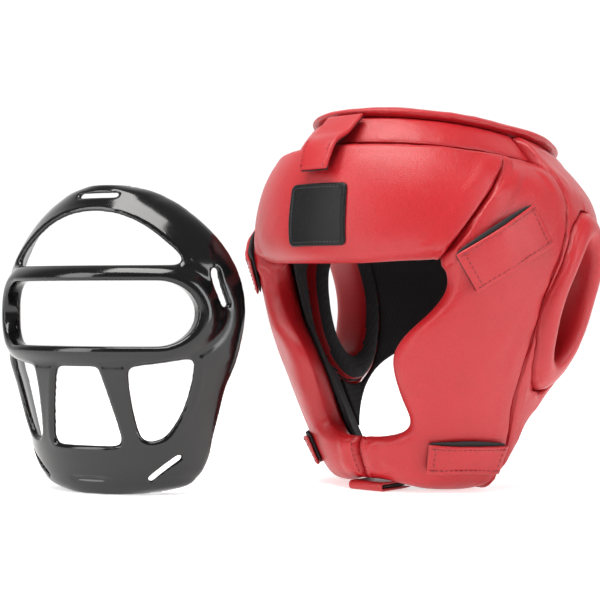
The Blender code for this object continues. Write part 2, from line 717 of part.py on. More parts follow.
def slot_outline(ends, side):
    """A narrow slot with round ends, in front view."""
    a = np.array([side * ends[0] * GRILL_HALF_WIDTH, ends[1] * GRILL_HEIGHT])
    b = np.array([side * ends[2] * GRILL_HALF_WIDTH, ends[3] * GRILL_HEIGHT])
    angle = math.atan2(b[1] - a[1], b[0] - a[0])
    outline = []
    for end, start in ((b, -math.pi / 2), (a, math.pi / 2)):
        for t in np.linspace(start, start + math.pi, 4):
            outline.append((end[0] + SLOT_WIDTH / 2 * math.cos(angle + t),
                            end[1] + SLOT_WIDTH / 2 * math.sin(angle + t)))
    return outline


def grill_cutter():
    outlines = [eye_outline(), window_outline(BROW_WINDOW), window_outline(MOUTH_WINDOW)]
    outlines += [cheek_outline(side) for side in (1, -1)]
    outlines += [slot_outline(ends, 1) for ends in SLOT_ENDS]
    outlines += [slot_outline(ends, -1) for ends in SLOT_ENDS[2:]]

    def end(y):
        return lambda outline: [(x, y, z) for x, z in outline]

    return prism_cutter("grill_cutter", outlines, end(-GRILL_DEPTH * 0.3), end(GRILL_DEPTH * 1.2))


def turn_and_place(obj, angle, across, ahead):
    """Turn a piece about an upright line through its front, and set it beside the guard."""
    for vertex in obj.data.vertices:
        x, y, z = vertex.co
        vertex.co = (x * math.cos(angle) - y * math.sin(angle),
                     x * math.sin(angle) + y * math.cos(angle), z)
    obj.location = (across, ahead, 0.0)


def stand_set(objects):
    """Put the middle of the set's outline on the floor at the origin."""
    corners = []
    for obj in objects:
        points = np.array([vertex.co for vertex in obj.data.vertices])
        corners.append(points + np.array(obj.location))
    everything = np.concatenate(corners)
    low = everything.min(axis=0)
    high = everything.max(axis=0)
    shift = np.array([-(low[0] + high[0]) / 2, -(low[1] + high[1]) / 2, -low[2]])
    for obj in bpy.context.scene.objects:
        obj.location = tuple(np.array(obj.location) + shift)
    print("set centre", (low + high) / 2, "size", high - low)


def build():
    clear_scene()
    parts = [forehead_pad(), crown_band(), top_cover(), label_patch(), top_strap(), chin_strap()]
    back = back_panel()
    degrees, ups = back_grid(NECK_MARGIN, LINING_LAP + LINING_GAP, 1.5)
    back_lining = lining("lining_back", degrees, ups, BACK_PAD)
    degrees, ups = forehead_grid(LINING_MARGIN, LINING_MARGIN * 0.1, 1.5)
    parts += [back, back_lining, lining("lining_front", degrees, ups, FRONT_PAD)]
    cutter = ear_cutter()
    cut(back, cutter)
    cut(back_lining, cutter)
    for side, word in ((1, "left"), (-1, "right")):
        panel = side_panel("side_panel_" + word, side)
        degrees, ups, pad = side_grid(len(SIDE_ROWS) - 1.5, 0.05, LINING_MARGIN, 1.5, LINING_LAP)
        skin = lining("lining_" + word, degrees * side, ups, pad)
        cut(panel, cutter)
        cut(skin, cutter)
        parts += [panel, skin, ear_ring("ear_ring_" + word, side)]
        parts.append(shell_strap("temple_strap_" + word, side, (49.0, 0.565), (75.0, 0.705),
                                 TEMPLE_STRAP_WIDTH))
        parts.append(shell_strap("jaw_strap_" + word, side, (39.0, 0.098), (79.0, 0.090),
                                 JAW_STRAP_WIDTH))
    grill = grill_wall()
    hole_cutter = grill_cutter()
    cut(grill, hole_cutter)
    for obj in (grill, hole_cutter):
        turn_and_place(obj, GRILL_TURN, GRILL_ACROSS, GRILL_AHEAD)
    parts.append(grill)
    stand_set(parts)


build()
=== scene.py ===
# %% [markdown]
# A boxing head guard and its face grill, dressed for a studio picture.
# The solid model gives every place and size. This script gives the looks: stuffed leather panels,
# a dark knitted lining, stitched straps and a glossy moulded grill.
# The real guard is sewn from flat pieces of leather over foam, so each panel is its own pillow.

# %% Load the solid model and find the guard's and the grill's places
import math

import bmesh
import bpy
import numpy as np
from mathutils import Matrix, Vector, noise
from mathutils.bvhtree import BVHTree


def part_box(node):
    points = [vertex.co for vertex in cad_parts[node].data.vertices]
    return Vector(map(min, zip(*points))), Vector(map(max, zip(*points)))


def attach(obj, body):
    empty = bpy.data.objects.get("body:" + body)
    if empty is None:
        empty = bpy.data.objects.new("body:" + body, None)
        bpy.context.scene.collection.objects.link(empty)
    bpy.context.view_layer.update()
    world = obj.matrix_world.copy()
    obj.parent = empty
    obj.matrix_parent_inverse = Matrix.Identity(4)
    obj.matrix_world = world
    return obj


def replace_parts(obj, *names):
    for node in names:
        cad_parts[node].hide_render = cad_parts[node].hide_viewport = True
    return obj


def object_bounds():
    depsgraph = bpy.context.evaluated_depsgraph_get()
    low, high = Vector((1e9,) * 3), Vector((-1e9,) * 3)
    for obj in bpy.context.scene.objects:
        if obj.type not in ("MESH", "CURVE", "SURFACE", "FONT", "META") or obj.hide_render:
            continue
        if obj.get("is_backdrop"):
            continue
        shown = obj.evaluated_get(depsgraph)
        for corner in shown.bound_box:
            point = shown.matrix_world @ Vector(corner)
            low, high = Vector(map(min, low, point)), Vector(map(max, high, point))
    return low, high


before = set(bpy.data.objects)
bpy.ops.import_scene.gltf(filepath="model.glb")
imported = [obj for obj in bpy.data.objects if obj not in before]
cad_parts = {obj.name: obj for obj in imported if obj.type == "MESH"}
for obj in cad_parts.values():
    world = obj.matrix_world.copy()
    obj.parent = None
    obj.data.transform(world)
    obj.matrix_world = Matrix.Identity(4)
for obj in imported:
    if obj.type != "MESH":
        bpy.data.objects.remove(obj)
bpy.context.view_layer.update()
CHIN_STRAP_FRONT = 0.068
strap_low, strap_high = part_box("chin_strap")
guard_middle = np.array([(strap_low[0] + strap_high[0]) / 2, strap_low[1] + CHIN_STRAP_FRONT, 0.0])
print("guard middle", guard_middle)

# %% [markdown]
# The camera stands as low as the guard's own middle, a metre away and a little to the wearer's
# left, as in a catalogue picture. A long lens keeps the round shapes from bulging at the viewer.
# It comes first so that every later choice can be judged from the same place.

# %% Camera
VIEW_AZIMUTH = math.radians(40.0)
CAMERA_DISTANCE = 1.05
CAMERA_HEIGHT = 0.125
IMAGE_WIDTH_AT_GUARD = 0.414
GUARD_RIGHT_OF_MIDDLE = 0.086
SENSOR = 36.0
to_right = np.array([math.cos(VIEW_AZIMUTH), math.sin(VIEW_AZIMUTH), 0.0])
ahead = np.array([-math.sin(VIEW_AZIMUTH), math.cos(VIEW_AZIMUTH), 0.0])
aim = guard_middle - to_right * GUARD_RIGHT_OF_MIDDLE
camera_data = bpy.data.cameras.new("camera")
camera_data.sensor_width = SENSOR
camera_data.lens = SENSOR / 2 / (IMAGE_WIDTH_AT_GUARD / 2 / CAMERA_DISTANCE)
camera = bpy.data.objects.new("camera", camera_data)
camera.location = tuple(aim - ahead * CAMERA_DISTANCE + np.array([0.0, 0.0, CAMERA_HEIGHT]))
camera.rotation_euler = (math.pi / 2, 0.0, VIEW_AZIMUTH)
bpy.context.collection.objects.link(camera)
bpy.context.scene.camera = camera
print("camera", camera.location, "lens", round(camera_data.lens, 1))

# %% [markdown]
# A white studio has no hard shadow: a pale floor that runs far back, a white wall behind the guard,
# a dimmer room in front of it so that black plastic has something dark to mirror,
# and large soft lamps. One big lamp above the left shoulder gives the pink sheen along the top
# edges of the leather, and a tall one on the right draws the long highlight down the cheek.

# %% Floor, surround and lamps
def soft_lamp(name, across, near, up, width, height, power, colour):
    """A large lamp placed from the camera's point of view and aimed at the guard."""
    data = bpy.data.lights.new(name, "AREA")
    data.shape = "RECTANGLE"
    data.size = width
    data.size_y = height
    data.energy = power
    data.color = colour
    lamp = bpy.data.objects.new(name, data)
    place = Vector(tuple(aim + to_right * across - ahead * near)) + Vector((0.0, 0.0, up))
    lamp.location = place
    target = Vector(tuple(aim)) + Vector((0.0, 0.0, CAMERA_HEIGHT))
    lamp.rotation_euler = (target - place).to_track_quat("-Z", "Y").to_euler()
    bpy.context.collection.objects.link(lamp)


soft_lamp("lamp_above", -0.20, 0.45, 1.25, 0.90, 0.70, 21.0, (1.0, 0.99, 0.97))
soft_lamp("lamp_left", -1.10, 0.70, 0.55, 0.40, 1.10, 8.0, (1.0, 1.0, 1.0))
soft_lamp("lamp_right", 1.15, 0.65, 0.45, 0.35, 1.20, 9.0, (0.97, 0.98, 1.0))

world = bpy.data.worlds.new("studio")
world.use_nodes = True
surround = world.node_tree
direction = surround.nodes.new("ShaderNodeTexCoord")
facing_back = surround.nodes.new("ShaderNodeVectorMath")
facing_back.operation = "DOT_PRODUCT"
facing_back.inputs[1].default_value = tuple(ahead)
brightness = surround.nodes.new("ShaderNodeMapRange")
brightness.interpolation_type = "SMOOTHSTEP"
for socket, value in zip(("From Min", "From Max", "To Min", "To Max"), (0.10, 0.80, 0.26, 1.06)):
    brightness.inputs[socket].default_value = value
surround.links.new(direction.outputs["Generated"], facing_back.inputs[0])
surround.links.new(facing_back.outputs["Value"], brightness.inputs["Value"])
surround.nodes["Background"].inputs["Color"].default_value = (1.0, 1.0, 1.0, 1.0)
surround.links.new(brightness.outputs["Result"], surround.nodes["Background"].inputs["Strength"])
bpy.context.scene.world = world
bpy.context.scene.view_settings.view_transform = "Standard"

FLOOR_HALF = 12.0
FLOOR_DROP = 0.0002
floor_mesh = bpy.data.meshes.new("floor")
floor_corners = [(x * FLOOR_HALF, y * FLOOR_HALF, -FLOOR_DROP)
                 for x, y in ((-1, -1), (1, -1), (1, 1), (-1, 1))]
floor_mesh.from_pydata(floor_corners, [], [(0, 1, 2, 3)])
floor = bpy.data.objects.new("floor", floor_mesh)
bpy.context.collection.objects.link(floor)
floor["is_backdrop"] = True
print("three lamps and a floor of", 2 * FLOOR_HALF, "m")

# %% [markdown]
# Shader sums read best as ordinary sums. This small class wraps one output of a node,
# so that a + b, 1 - a or a * b adds the Math node for it. Every other node comes from one method.

# %% Shader helper
class Wire:
    """One node output that can be added, multiplied and so on."""

    def __init__(self, paint, socket):
        self.paint = paint
        self.socket = socket

    def sum_node(self, operation, first, second):
        return self.paint.node("ShaderNodeMath", {"operation": operation}, {0: first, 1: second})

    def __add__(self, other):
        return self.sum_node("ADD", self, other)

    def __radd__(self, other):
        return self.sum_node("ADD", other, self)

    def __mul__(self, other):
        return self.sum_node("MULTIPLY", self, other)

    def __rmul__(self, other):
        return self.sum_node("MULTIPLY", other, self)

    def __sub__(self, other):
        return self.sum_node("SUBTRACT", self, other)

    def __rsub__(self, other):
        return self.sum_node("SUBTRACT", other, self)


class Paint:
    """A material with a Principled shader, and one way to add any node."""

    def __init__(self, name, slot, metallic=0.0, coat=0.0, coat_roughness=0.1, specular=0.5):
        self.slot = slot
        self.material = bpy.data.materials.new(name)
        self.material.use_nodes = True
        self.tree = self.material.node_tree
        self.shader = self.tree.nodes["Principled BSDF"]
        self.shader.inputs["Metallic"].default_value = metallic
        self.shader.inputs["Coat Weight"].default_value = coat
        self.shader.inputs["Coat Roughness"].default_value = coat_roughness
        self.shader.inputs["Specular IOR Level"].default_value = specular

    def node(self, kind, settings=None, values=None, output=0):
        made = self.tree.nodes.new(kind)
        for key, value in (settings or {}).items():
            setattr(made, key, value)
        for key, value in (values or {}).items():
            self.feed(made.inputs[key], value)
        return Wire(self, made.outputs[output])

    def feed(self, socket, value):
        if isinstance(value, Wire):
            self.tree.links.new(value.socket, socket)
        else:
            socket.default_value = value

    def set(self, **values):
        for key, value in values.items():
            self.feed(self.shader.inputs[key.replace("_", " ")], value)

    def place(self):
        return self.node("ShaderNodeTexCoord", output="Object")

    def mottle(self, scale, detail=3.0, roughness=0.55):
        return self.node("ShaderNodeTexNoise", None, {
            "Vector": self.place(), "Scale": scale, "Detail": detail, "Roughness": roughness})

    def cells(self, scale):
        return self.node("ShaderNodeTexVoronoi", {"feature": "DISTANCE_TO_EDGE"}, {
            "Vector": self.place(), "Scale": scale})

    def blend(self, share, low, high):
        """Low where the share is 0 and high where it is 1."""
        return self.node("ShaderNodeMix", {"data_type": "RGBA"}, {0: share, 6: low, 7: high}, 2)

    def bump(self, height, strength, distance):
        return self.node("ShaderNodeBump", None, {
            "Height": height, "Strength": strength, "Distance": distance})


print("shader helper ready")

# %% [markdown]
# The leather is a coated split hide: a strong even red with a satin face. Close up it has a
# fine pebble grain, here the cracks between Voronoi cells a little over a millimetre wide, and
# broad soft creases from being turned over foam. Colour changes only a little, darker in the grain.

# %% Red leather
def leather(name, colour, dark, sheen_low, sheen_high):
    paint = Paint(name, "red_leather", coat=0.08, coat_roughness=0.28, specular=0.40)
    grain = paint.cells(780.0)
    cloud = paint.mottle(38.0, 4.0)
    crease = paint.mottle(95.0, 5.0, 0.62)
    depth = paint.node("ShaderNodeMapRange", None, {
        "Value": grain, "From Min": 0.0, "From Max": 0.22, "To Min": 0.0, "To Max": 1.0})
    tone = cloud * 0.55 + depth * 0.45
    paint.set(Base_Color=paint.blend(tone, dark, colour))
    paint.set(Roughness=sheen_high - cloud * (sheen_high - sheen_low))
    height = depth * 0.55 + crease * 1.1 + cloud * 0.6
    paint.set(Normal=paint.bump(height, 0.28, 0.0006))
    return paint


RED = leather("red_leather", (0.43, 0.010, 0.015, 1.0), (0.29, 0.006, 0.009, 1.0), 0.32, 0.46)
print("leather", RED.material.name)

# %% [markdown]
# The inside is a black knit glued to thin foam. It shows no gloss, only a fine rib that catches
# a little light. Two crossed waves make that rib, with noise so that it isn't perfectly even.

# %% Black lining, patch, thread and hook tape
def knit(name, slot, colour, light, scale, rough):
    paint = Paint(name, slot)

    def rib(direction):
        settings = {"wave_type": "BANDS", "bands_direction": direction}
        return paint.node("ShaderNodeTexWave", settings, {
            "Vector": paint.place(), "Scale": scale, "Distortion": 1.5, "Detail": 1.0}, "Fac")

    weave = rib("Z") * 0.5 + rib("X") * 0.5
    fuzz = paint.mottle(60.0)
    paint.set(Base_Color=paint.blend(weave * 0.7 + fuzz * 0.3, colour, light))
    paint.set(Roughness=rough + fuzz * 0.08)
    paint.set(Normal=paint.bump(weave, 0.35, 0.0004))
    return paint


LINING = knit("black_knit", "black_fabric",
              (0.006, 0.006, 0.007, 1.0), (0.022, 0.021, 0.024, 1.0), 190.0, 0.86)
HOOK_TAPE = knit("hook_tape", "black_fabric",
                 (0.005, 0.005, 0.005, 1.0), (0.016, 0.016, 0.017, 1.0), 420.0, 0.80)


def patch_paint():
    paint = Paint("black_patch", "black_patch", specular=0.22)
    dots = paint.cells(520.0)
    low, high = (0.002, 0.002, 0.0025, 1.0), (0.008, 0.008, 0.009, 1.0)
    paint.set(Base_Color=paint.blend(dots * 2.0, low, high))
    paint.set(Roughness=0.40 + dots * 0.5)
    paint.set(Normal=paint.bump(dots, 0.40, 0.0004))
    return paint


def thread_paint(name, slot, colour, light):
    paint = Paint(name, slot)
    twist = paint.mottle(900.0, 2.0)
    paint.set(Base_Color=paint.blend(twist, colour, light))
    paint.set(Roughness=0.52 + twist * 0.12)
    paint.set(Normal=paint.bump(twist, 0.3, 0.0003))
    return paint


PATCH = patch_paint()
# Painted shade: the red thread is darker than the leather partly to stand for the shade in the
# stitch grooves, which are not modelled, and the rest is the thread's own red
RED_THREAD_AND_GROOVE_SHADE = thread_paint("red_thread_and_groove_shade", "red_leather",
                          (0.13, 0.004, 0.006, 1.0), (0.24, 0.008, 0.012, 1.0))
DARK_THREAD = thread_paint("dark_thread", "black_fabric",
                           (0.010, 0.010, 0.011, 1.0), (0.05, 0.05, 0.055, 1.0))
print("lining, hook tape, patch and two threads")

# %% [markdown]
# The grill is injection moulded. Its black is nearly pure, so what is seen is reflection:
# a low roughness, a slight orange-peel ripple in the surface, and faint dust-fine marks.

# %% Glossy black plastic and the floor's paper
def moulded_paint():
    paint = Paint("black_plastic", "black_plastic", specular=0.45)
    ripple = paint.mottle(120.0, 2.0)
    marks = paint.mottle(340.0, 5.0, 0.7)
    low, high = (0.0016, 0.0016, 0.0018, 1.0), (0.0045, 0.0045, 0.005, 1.0)
    paint.set(Base_Color=paint.blend(marks, low, high))
    paint.set(Roughness=0.07 + marks * 0.12)
    paint.set(Normal=paint.bump(ripple, 0.06, 0.0006))
    return paint


PLASTIC = moulded_paint()
paper = Paint("studio_paper", None)
low, high = (0.90, 0.90, 0.90, 1.0), (0.93, 0.93, 0.93, 1.0)
paper.set(Base_Color=paper.blend(paper.mottle(3.0), low, high))
paper.set(Roughness=0.9)
paper.set(Emission_Color=(1.0, 1.0, 1.0, 1.0), Emission_Strength=0.58)
floor_mesh.materials.append(paper.material)
print("plastic and paper")

# %% [markdown]
# The guard's outline is one smooth egg that is fuller behind than in front. A short table of widths
# and reaches for each height gives any point of it from an angle round the head and a height share.
# The straps, the patch and every row of stitches are laid on the leather through this one function.

# %% The guard's outline
SHELL_HEIGHT = 0.250
HALF_WIDTH = 0.116
FRONT_REACH = 0.120
BACK_REACH = 0.131
CROWN_FALL = 0.028
FALL_FROM = 0.58
BAND_TOP = 0.91
# Columns: height share, half width share, front reach share, back reach share
SECTIONS = (
    (0.00, 0.53, 0.58, 0.50), (0.06, 0.59, 0.63, 0.56), (0.16, 0.68, 0.71, 0.66),
    (0.26, 0.76, 0.80, 0.75), (0.38, 0.87, 0.89, 0.87), (0.50, 0.94, 0.96, 0.96),
    (0.60, 1.00, 1.00, 0.98), (0.74, 0.98, 0.99, 1.00), (0.84, 0.925, 0.950, 0.99),
    (0.88, 0.870, 0.910, 0.965), (0.91, 0.815, 0.870, 0.945), (0.988, 0.67, 0.775, 0.90),
)


def smooth_column(rows, column, at):
    """Read a table's column with a smooth curve through its rows."""
    x = np.array([row[0] for row in rows])
    y = np.array([row[column] for row in rows])
    slope = np.gradient(y, x)
    at = np.clip(np.asarray(at, dtype=float), x[0], x[-1])
    i = np.clip(np.searchsorted(x, at, side="right") - 1, 0, len(x) - 2)
    h = x[i + 1] - x[i]
    t = (at - x[i]) / h
    a = (2 * t**3 - 3 * t**2 + 1) * y[i] + (t**3 - 2 * t**2 + t) * h * slope[i]
    return a + (3 * t**2 - 2 * t**3) * y[i + 1] + (t**3 - t**2) * h * slope[i + 1]


def shell_point(degrees, up_share, depth=0.0):
    """A point of the guard, so far round from the front, so high, and so deep in the padding."""
    angle = np.radians(np.asarray(degrees, dtype=float))
    up_share = np.asarray(up_share, dtype=float)
    wide = HALF_WIDTH * smooth_column(SECTIONS, 1, up_share)
    ahead = FRONT_REACH * smooth_column(SECTIONS, 2, up_share)
    behind = BACK_REACH * smooth_column(SECTIONS, 3, up_share)
    along = np.where(np.cos(angle) > 0, ahead, behind)
    x = (wide - depth) * np.sin(angle)
    y = -(along - depth) * np.cos(angle)
    tilt = np.clip((up_share - FALL_FROM) / (BAND_TOP - FALL_FROM), 0.0, 1.0)
    back = (y + FRONT_REACH) / (FRONT_REACH + BACK_REACH)
    z = SHELL_HEIGHT * up_share - CROWN_FALL * tilt * back
    return np.stack([x, y, z], axis=-1) + guard_middle


def shell_outward(degrees, up_share):
    ahead = shell_point(degrees + 0.5, up_share) - shell_point(degrees - 0.5, up_share)
    rise = shell_point(degrees, up_share + 0.005) - shell_point(degrees, up_share - 0.005)
    outward = np.cross(ahead, rise)
    return outward / np.linalg.norm(outward, axis=-1, keepdims=True)


print("brow", shell_point(0.0, 0.6), "crown", shell_point(0.0, 0.988))

# %% [markdown]
# Each stuffed panel starts from its solid. Its loose triangles are paired back into four-sided
# faces and subdivided, which turns the facets into one smooth skin with rounded edges.
# The distance from each point to the neighbouring panels then tells where the sewn seams are.
# Rounding also shrinks the walls inside a seam, so they are put back where a neighbour faces them.

# %% Panel tools
NO_SEAM_NEAR = 0.08
SEAM_REACH = 0.008
FACES_NEIGHBOUR = 0.35
PADS = ("forehead_pad", "side_panel_left", "side_panel_right", "back_panel", "crown_band",
        "top_cover", "ear_ring_left", "ear_ring_right")


def quads_of(node):
    """A merged copy of a solid's skin with its triangles paired into four-sided faces."""
    bm = bmesh.new()
    bm.from_mesh(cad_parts[node].data)
    bmesh.ops.remove_doubles(bm, verts=bm.verts, dist=0.00003)
    bmesh.ops.join_triangles(bm, faces=bm.faces, angle_face_threshold=math.radians(50.0),
                             angle_shape_threshold=math.radians(60.0))
    return bm


def object_from(bm, name):
    mesh = bpy.data.meshes.new(name)
    bm.to_mesh(mesh)
    bm.free()
    obj = bpy.data.objects.new(name, mesh)
    bpy.context.collection.objects.link(obj)
    return obj


def apply_modifiers(obj):
    """Turn what the modifiers show into the object's own mesh."""
    graph = bpy.context.evaluated_depsgraph_get()
    finished = bpy.data.meshes.new_from_object(obj.evaluated_get(graph))
    obj.modifiers.clear()
    obj.data = finished


def subdivide(obj, levels):
    modifier = obj.modifiers.new("smooth", "SUBSURF")
    modifier.levels = modifier.render_levels = levels
    apply_modifiers(obj)


def places_of(mesh):
    flat = np.empty(len(mesh.vertices) * 3)
    mesh.vertices.foreach_get("co", flat)
    return flat.reshape(-1, 3)


def move_to(mesh, places):
    mesh.vertices.foreach_set("co", np.ascontiguousarray(places, dtype=float).ravel())
    mesh.update()


def normals_of(mesh):
    return np.array([tuple(vertex.normal) for vertex in mesh.vertices])


def surface_tree(nodes):
    """A search tree over the solids of several nodes."""
    bm = bmesh.new()
    for node in nodes:
        bm.from_mesh(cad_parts[node].data)
    tree = BVHTree.FromBMesh(bm)
    bm.free()
    return tree


def seam_distances(places, node):
    """How far each point is from the panels sewn next to this one."""
    tree = surface_tree([name for name in PADS if name != node])
    nearest = [tree.find_nearest(Vector(tuple(place)), NO_SEAM_NEAR)[3] for place in places]
    return np.array([distance or NO_SEAM_NEAR for distance in nearest])


def close_seams(obj, node):
    """Bring the walls that face a neighbour back to the solid, so that no light passes between."""
    others = surface_tree([name for name in PADS if name != node])
    own = surface_tree([node])
    places = places_of(obj.data)
    closed = 0
    for index, normal in enumerate(normals_of(obj.data)):
        place = Vector(tuple(places[index]))
        near, _, _, gap = others.find_nearest(place, SEAM_REACH)
        if near is None or gap < 1e-6:
            continue
        if (near - place).dot(Vector(tuple(normal))) > FACES_NEIGHBOUR * gap:
            places[index] = own.find_nearest(place)[0]
            closed += 1
    move_to(obj.data, places)
    return closed


print(len(PADS), "stuffed pieces")

# %% [markdown]
# Stuffing pushes a panel out between its seams. A short cloth simulation does this: the skin is
# held near its seams and blown up a little, with gravity off. How far a point may move is
# capped, so that a panel never grows into its neighbour. It is a cushion's recipe made stiffer.

# %% Stuffing by a cloth simulation
STUFFING_FRAMES = 20


def stuff(obj, held, pressure, cap):
    """Swell the skin under pressure. Held is 1 where it is sewn down and 0 where it is free."""
    before = places_of(obj.data)
    group = obj.vertex_groups.new(name="held")
    for index, weight in enumerate(held):
        group.add([index], float(weight), "REPLACE")
    cloth = obj.modifiers.new("stuffing", "CLOTH")
    cloth.settings.quality = 5
    cloth.settings.mass = 0.3
    cloth.settings.tension_stiffness = 25.0
    cloth.settings.compression_stiffness = 8.0
    cloth.settings.shear_stiffness = 8.0
    cloth.settings.bending_stiffness = 0.8
    cloth.settings.use_pressure = True
    cloth.settings.uniform_pressure_force = pressure
    cloth.settings.vertex_group_mass = "held"
    cloth.settings.effector_weights.gravity = 0.0
    cloth.point_cache.frame_start = 1
    cloth.point_cache.frame_end = STUFFING_FRAMES
    for moment in range(1, STUFFING_FRAMES + 1):
        bpy.context.scene.frame_set(moment)
    apply_modifiers(obj)
    bpy.context.scene.frame_set(1)
    obj.vertex_groups.clear()
    moved = places_of(obj.data) - before
    reach = np.linalg.norm(moved, axis=1)
    scale = np.minimum(1.0, cap / np.maximum(reach, 1e-9))
    move_to(obj.data, before + moved * scale[:, None])
    return float(np.max(reach)), float(np.mean(reach))


print("stuffing ready")

# %% [markdown]
# Leather that is turned over foam keeps small marks of its making. Next to a seam the thread
# gathers it into short puckers, and further in it has a few soft creases and dents. Both are worked
# out from seeded noise and moved along the skin's own outward direction, by a millimetre or so.

# %% Puckers and creases
PUCKER_START = 0.003
PUCKER_FADE = 0.009
TIGHTEN_WITHIN = 0.017
TIGHTEN_FADE = 0.005
TIGHTEN_DEPTH = 0.0060
TIGHTEN_SHARE = 0.62
TURNED_TO_HEAD = -0.55


def crinkle(obj, gap, pucker, crease, seed):
    """Move the skin in and out by seam puckers and broad creases."""
    mesh = obj.data
    places = places_of(mesh)
    outward = normals_of(mesh)
    shift = Vector((seed * 1.7, seed * 0.9, seed * 2.3))
    change = np.zeros(len(places))
    for index, place in enumerate(places):
        at = Vector(tuple(place))
        near = math.exp(-max(gap[index] - PUCKER_START, 0.0) / PUCKER_FADE)
        ripple = noise.noise(at * 95.0 + shift) + 0.5 * noise.noise(at * 190.0 + shift)
        where = max(0.0, noise.noise(at * 17.0 + shift) + 0.18)
        fold = 1.0 - abs(noise.noise(at * 34.0 + shift) * 2.2)
        soft = noise.noise(at * 24.0 - shift)
        change[index] = pucker * near * ripple + crease * (where * (fold - 0.6) * 1.4 + soft * 0.8)
    move_to(mesh, places + outward * change[:, None])
    return float(np.abs(change).max())


def shell_depths(places):
    """Each point's depth inside the nominal outline, and the direction out of it, level."""
    x, y, z = (places - guard_middle).T
    back = (y + FRONT_REACH) / (FRONT_REACH + BACK_REACH)
    up_share = z / SHELL_HEIGHT
    for _ in range(3):
        tilt = np.clip((up_share - FALL_FROM) / (BAND_TOP - FALL_FROM), 0.0, 1.0)
        up_share = (z + CROWN_FALL * tilt * back) / SHELL_HEIGHT
    wide = HALF_WIDTH * smooth_column(SECTIONS, 1, up_share)
    along = np.where(y < 0, FRONT_REACH * smooth_column(SECTIONS, 2, up_share),
                     BACK_REACH * smooth_column(SECTIONS, 3, up_share))
    out = np.hypot(x / wide, y / along)
    level = np.stack([x, y, np.zeros(len(x))], axis=-1)
    reach = np.linalg.norm(level, axis=1)
    return reach * (1.0 / np.maximum(out, 0.01) - 1.0), level / np.maximum(reach, 1e-6)[:, None]


def tighten_seams(obj, gap):
    """Bring the rounded edges beside a seam nearly level, so that the seam is a thin line."""
    places = places_of(obj.data)
    depth, level = shell_depths(places)
    near = np.clip((TIGHTEN_WITHIN - gap) / TIGHTEN_FADE, 0.0, 1.0)
    shallow = np.clip((TIGHTEN_DEPTH - depth) / (TIGHTEN_DEPTH / 2), 0.0, 1.0) * (depth > 0.0)
    move_to(obj.data, places + level * (TIGHTEN_SHARE * depth * near * shallow)[:, None])


def finish_pad(obj, node, paint):
    for polygon in obj.data.polygons:
        polygon.use_smooth = True
    obj.data.materials.clear()
    obj.data.materials.append(paint.material)
    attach(obj, "root")
    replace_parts(obj, node)


def line_inside(ring):
    """The face of an ear ring that is turned to the head is knit, like the rest of the inside."""
    ring.data.materials.append(LINING.material)
    for polygon in ring.data.polygons:
        side = 1.0 if polygon.center.x > guard_middle[0] else -1.0
        if polygon.normal.x * side < TURNED_TO_HEAD:
            polygon.material_index = 1


print("puckers and creases ready")

# %% [markdown]
# Now each stuffed piece is made in turn: smoothed, stuffed, smoothed again and crinkled.
# The forehead and the cheeks are the thickest and the tightest. The crown band and the top cover
# are thin, so they swell less. The printed figures tell how far the stuffing moved each piece.

# %% Make the stuffed pieces
# Columns: node, pressure, cap, pucker, crease, fill
PAD_ROWS = (
    ("forehead_pad", 3.0, 0.0022, 0.00045, 0.00070, 0.80),
    ("side_panel_left", 3.0, 0.0022, 0.00050, 0.00080, 0.80),
    ("side_panel_right", 3.0, 0.0022, 0.00050, 0.00080, 0.80),
    ("back_panel", 2.5, 0.0018, 0.00045, 0.00075, 0.75),
    ("crown_band", 2.0, 0.0012, 0.00040, 0.00050, 0.65),
    ("top_cover", 1.5, 0.0010, 0.00025, 0.00045, 0.55),
    ("ear_ring_left", 2.0, 0.0010, 0.00040, 0.00045, 0.80),
    ("ear_ring_right", 2.0, 0.0010, 0.00040, 0.00045, 0.80),
)
pads = {}
for seed, (node, pressure, cap, pucker, crease, fill) in enumerate(PAD_ROWS):
    pad = object_from(quads_of(node), node.replace("_pad", "") + "_leather")
    subdivide(pad, 2)
    gap = seam_distances(places_of(pad.data), node)
    swell = (0.0, 0.0)
    held = np.clip(1.0 - (gap - PUCKER_START) / PUCKER_FADE, 0.0, 1.0)
    swell = stuff(pad, held, pressure, cap)
    subdivide(pad, 1)
    gap = seam_distances(places_of(pad.data), node)
    if node in ("forehead_pad", "side_panel_left", "side_panel_right", "back_panel"):
        tighten_seams(pad, gap)
    most = crinkle(pad, gap, pucker, crease, seed + 1)
    closed = close_seams(pad, node)
    finish_pad(pad, node, RED)
    if node.startswith("ear_ring"):
        line_inside(pad)
    pads[node] = pad
    print(node, len(pad.data.polygons), "faces, swelled mm", [round(1000 * s, 2) for s in swell],
          "crinkled mm", round(1000 * most, 2), "closed", closed)

# %% [markdown]
# The lining is a thin knit-faced foam that follows the inside of each panel. It only needs to be
# smooth, with some slack: a real lining is cut a little large and shows shallow waves.

# %% Linings
for seed, node in enumerate(("lining_front", "lining_left", "lining_right", "lining_back")):
    skin = object_from(quads_of(node), node.replace("lining_", "") + "_knit")
    subdivide(skin, 2)
    far = np.full(len(skin.data.vertices), NO_SEAM_NEAR)
    most = crinkle(skin, far, 0.0, 0.00045, 20 + seed)
    finish_pad(skin, node, LINING)
    print(node, len(skin.data.polygons), "faces, crinkled mm", round(1000 * most, 2))

# %% [markdown]
# Straps and the patch lie on the stuffed leather, so they must know how far it now stands out.
# A ray from outside finds the skin under each point. Straps are swept from a small rounded section,
# and their ends are pinched slightly, as stitched leather ends are.

# %% Strap tools
RAY_START = 0.015
RAY_REACH = 0.03
STITCH_INSET = 0.0026
SHARP_ANGLE = 40.0


def skins_tree():
    bm = bmesh.new()
    for pad in pads.values():
        bm.from_mesh(pad.data)
    tree = BVHTree.FromBMesh(bm)
    bm.free()
    return tree


skins = skins_tree()


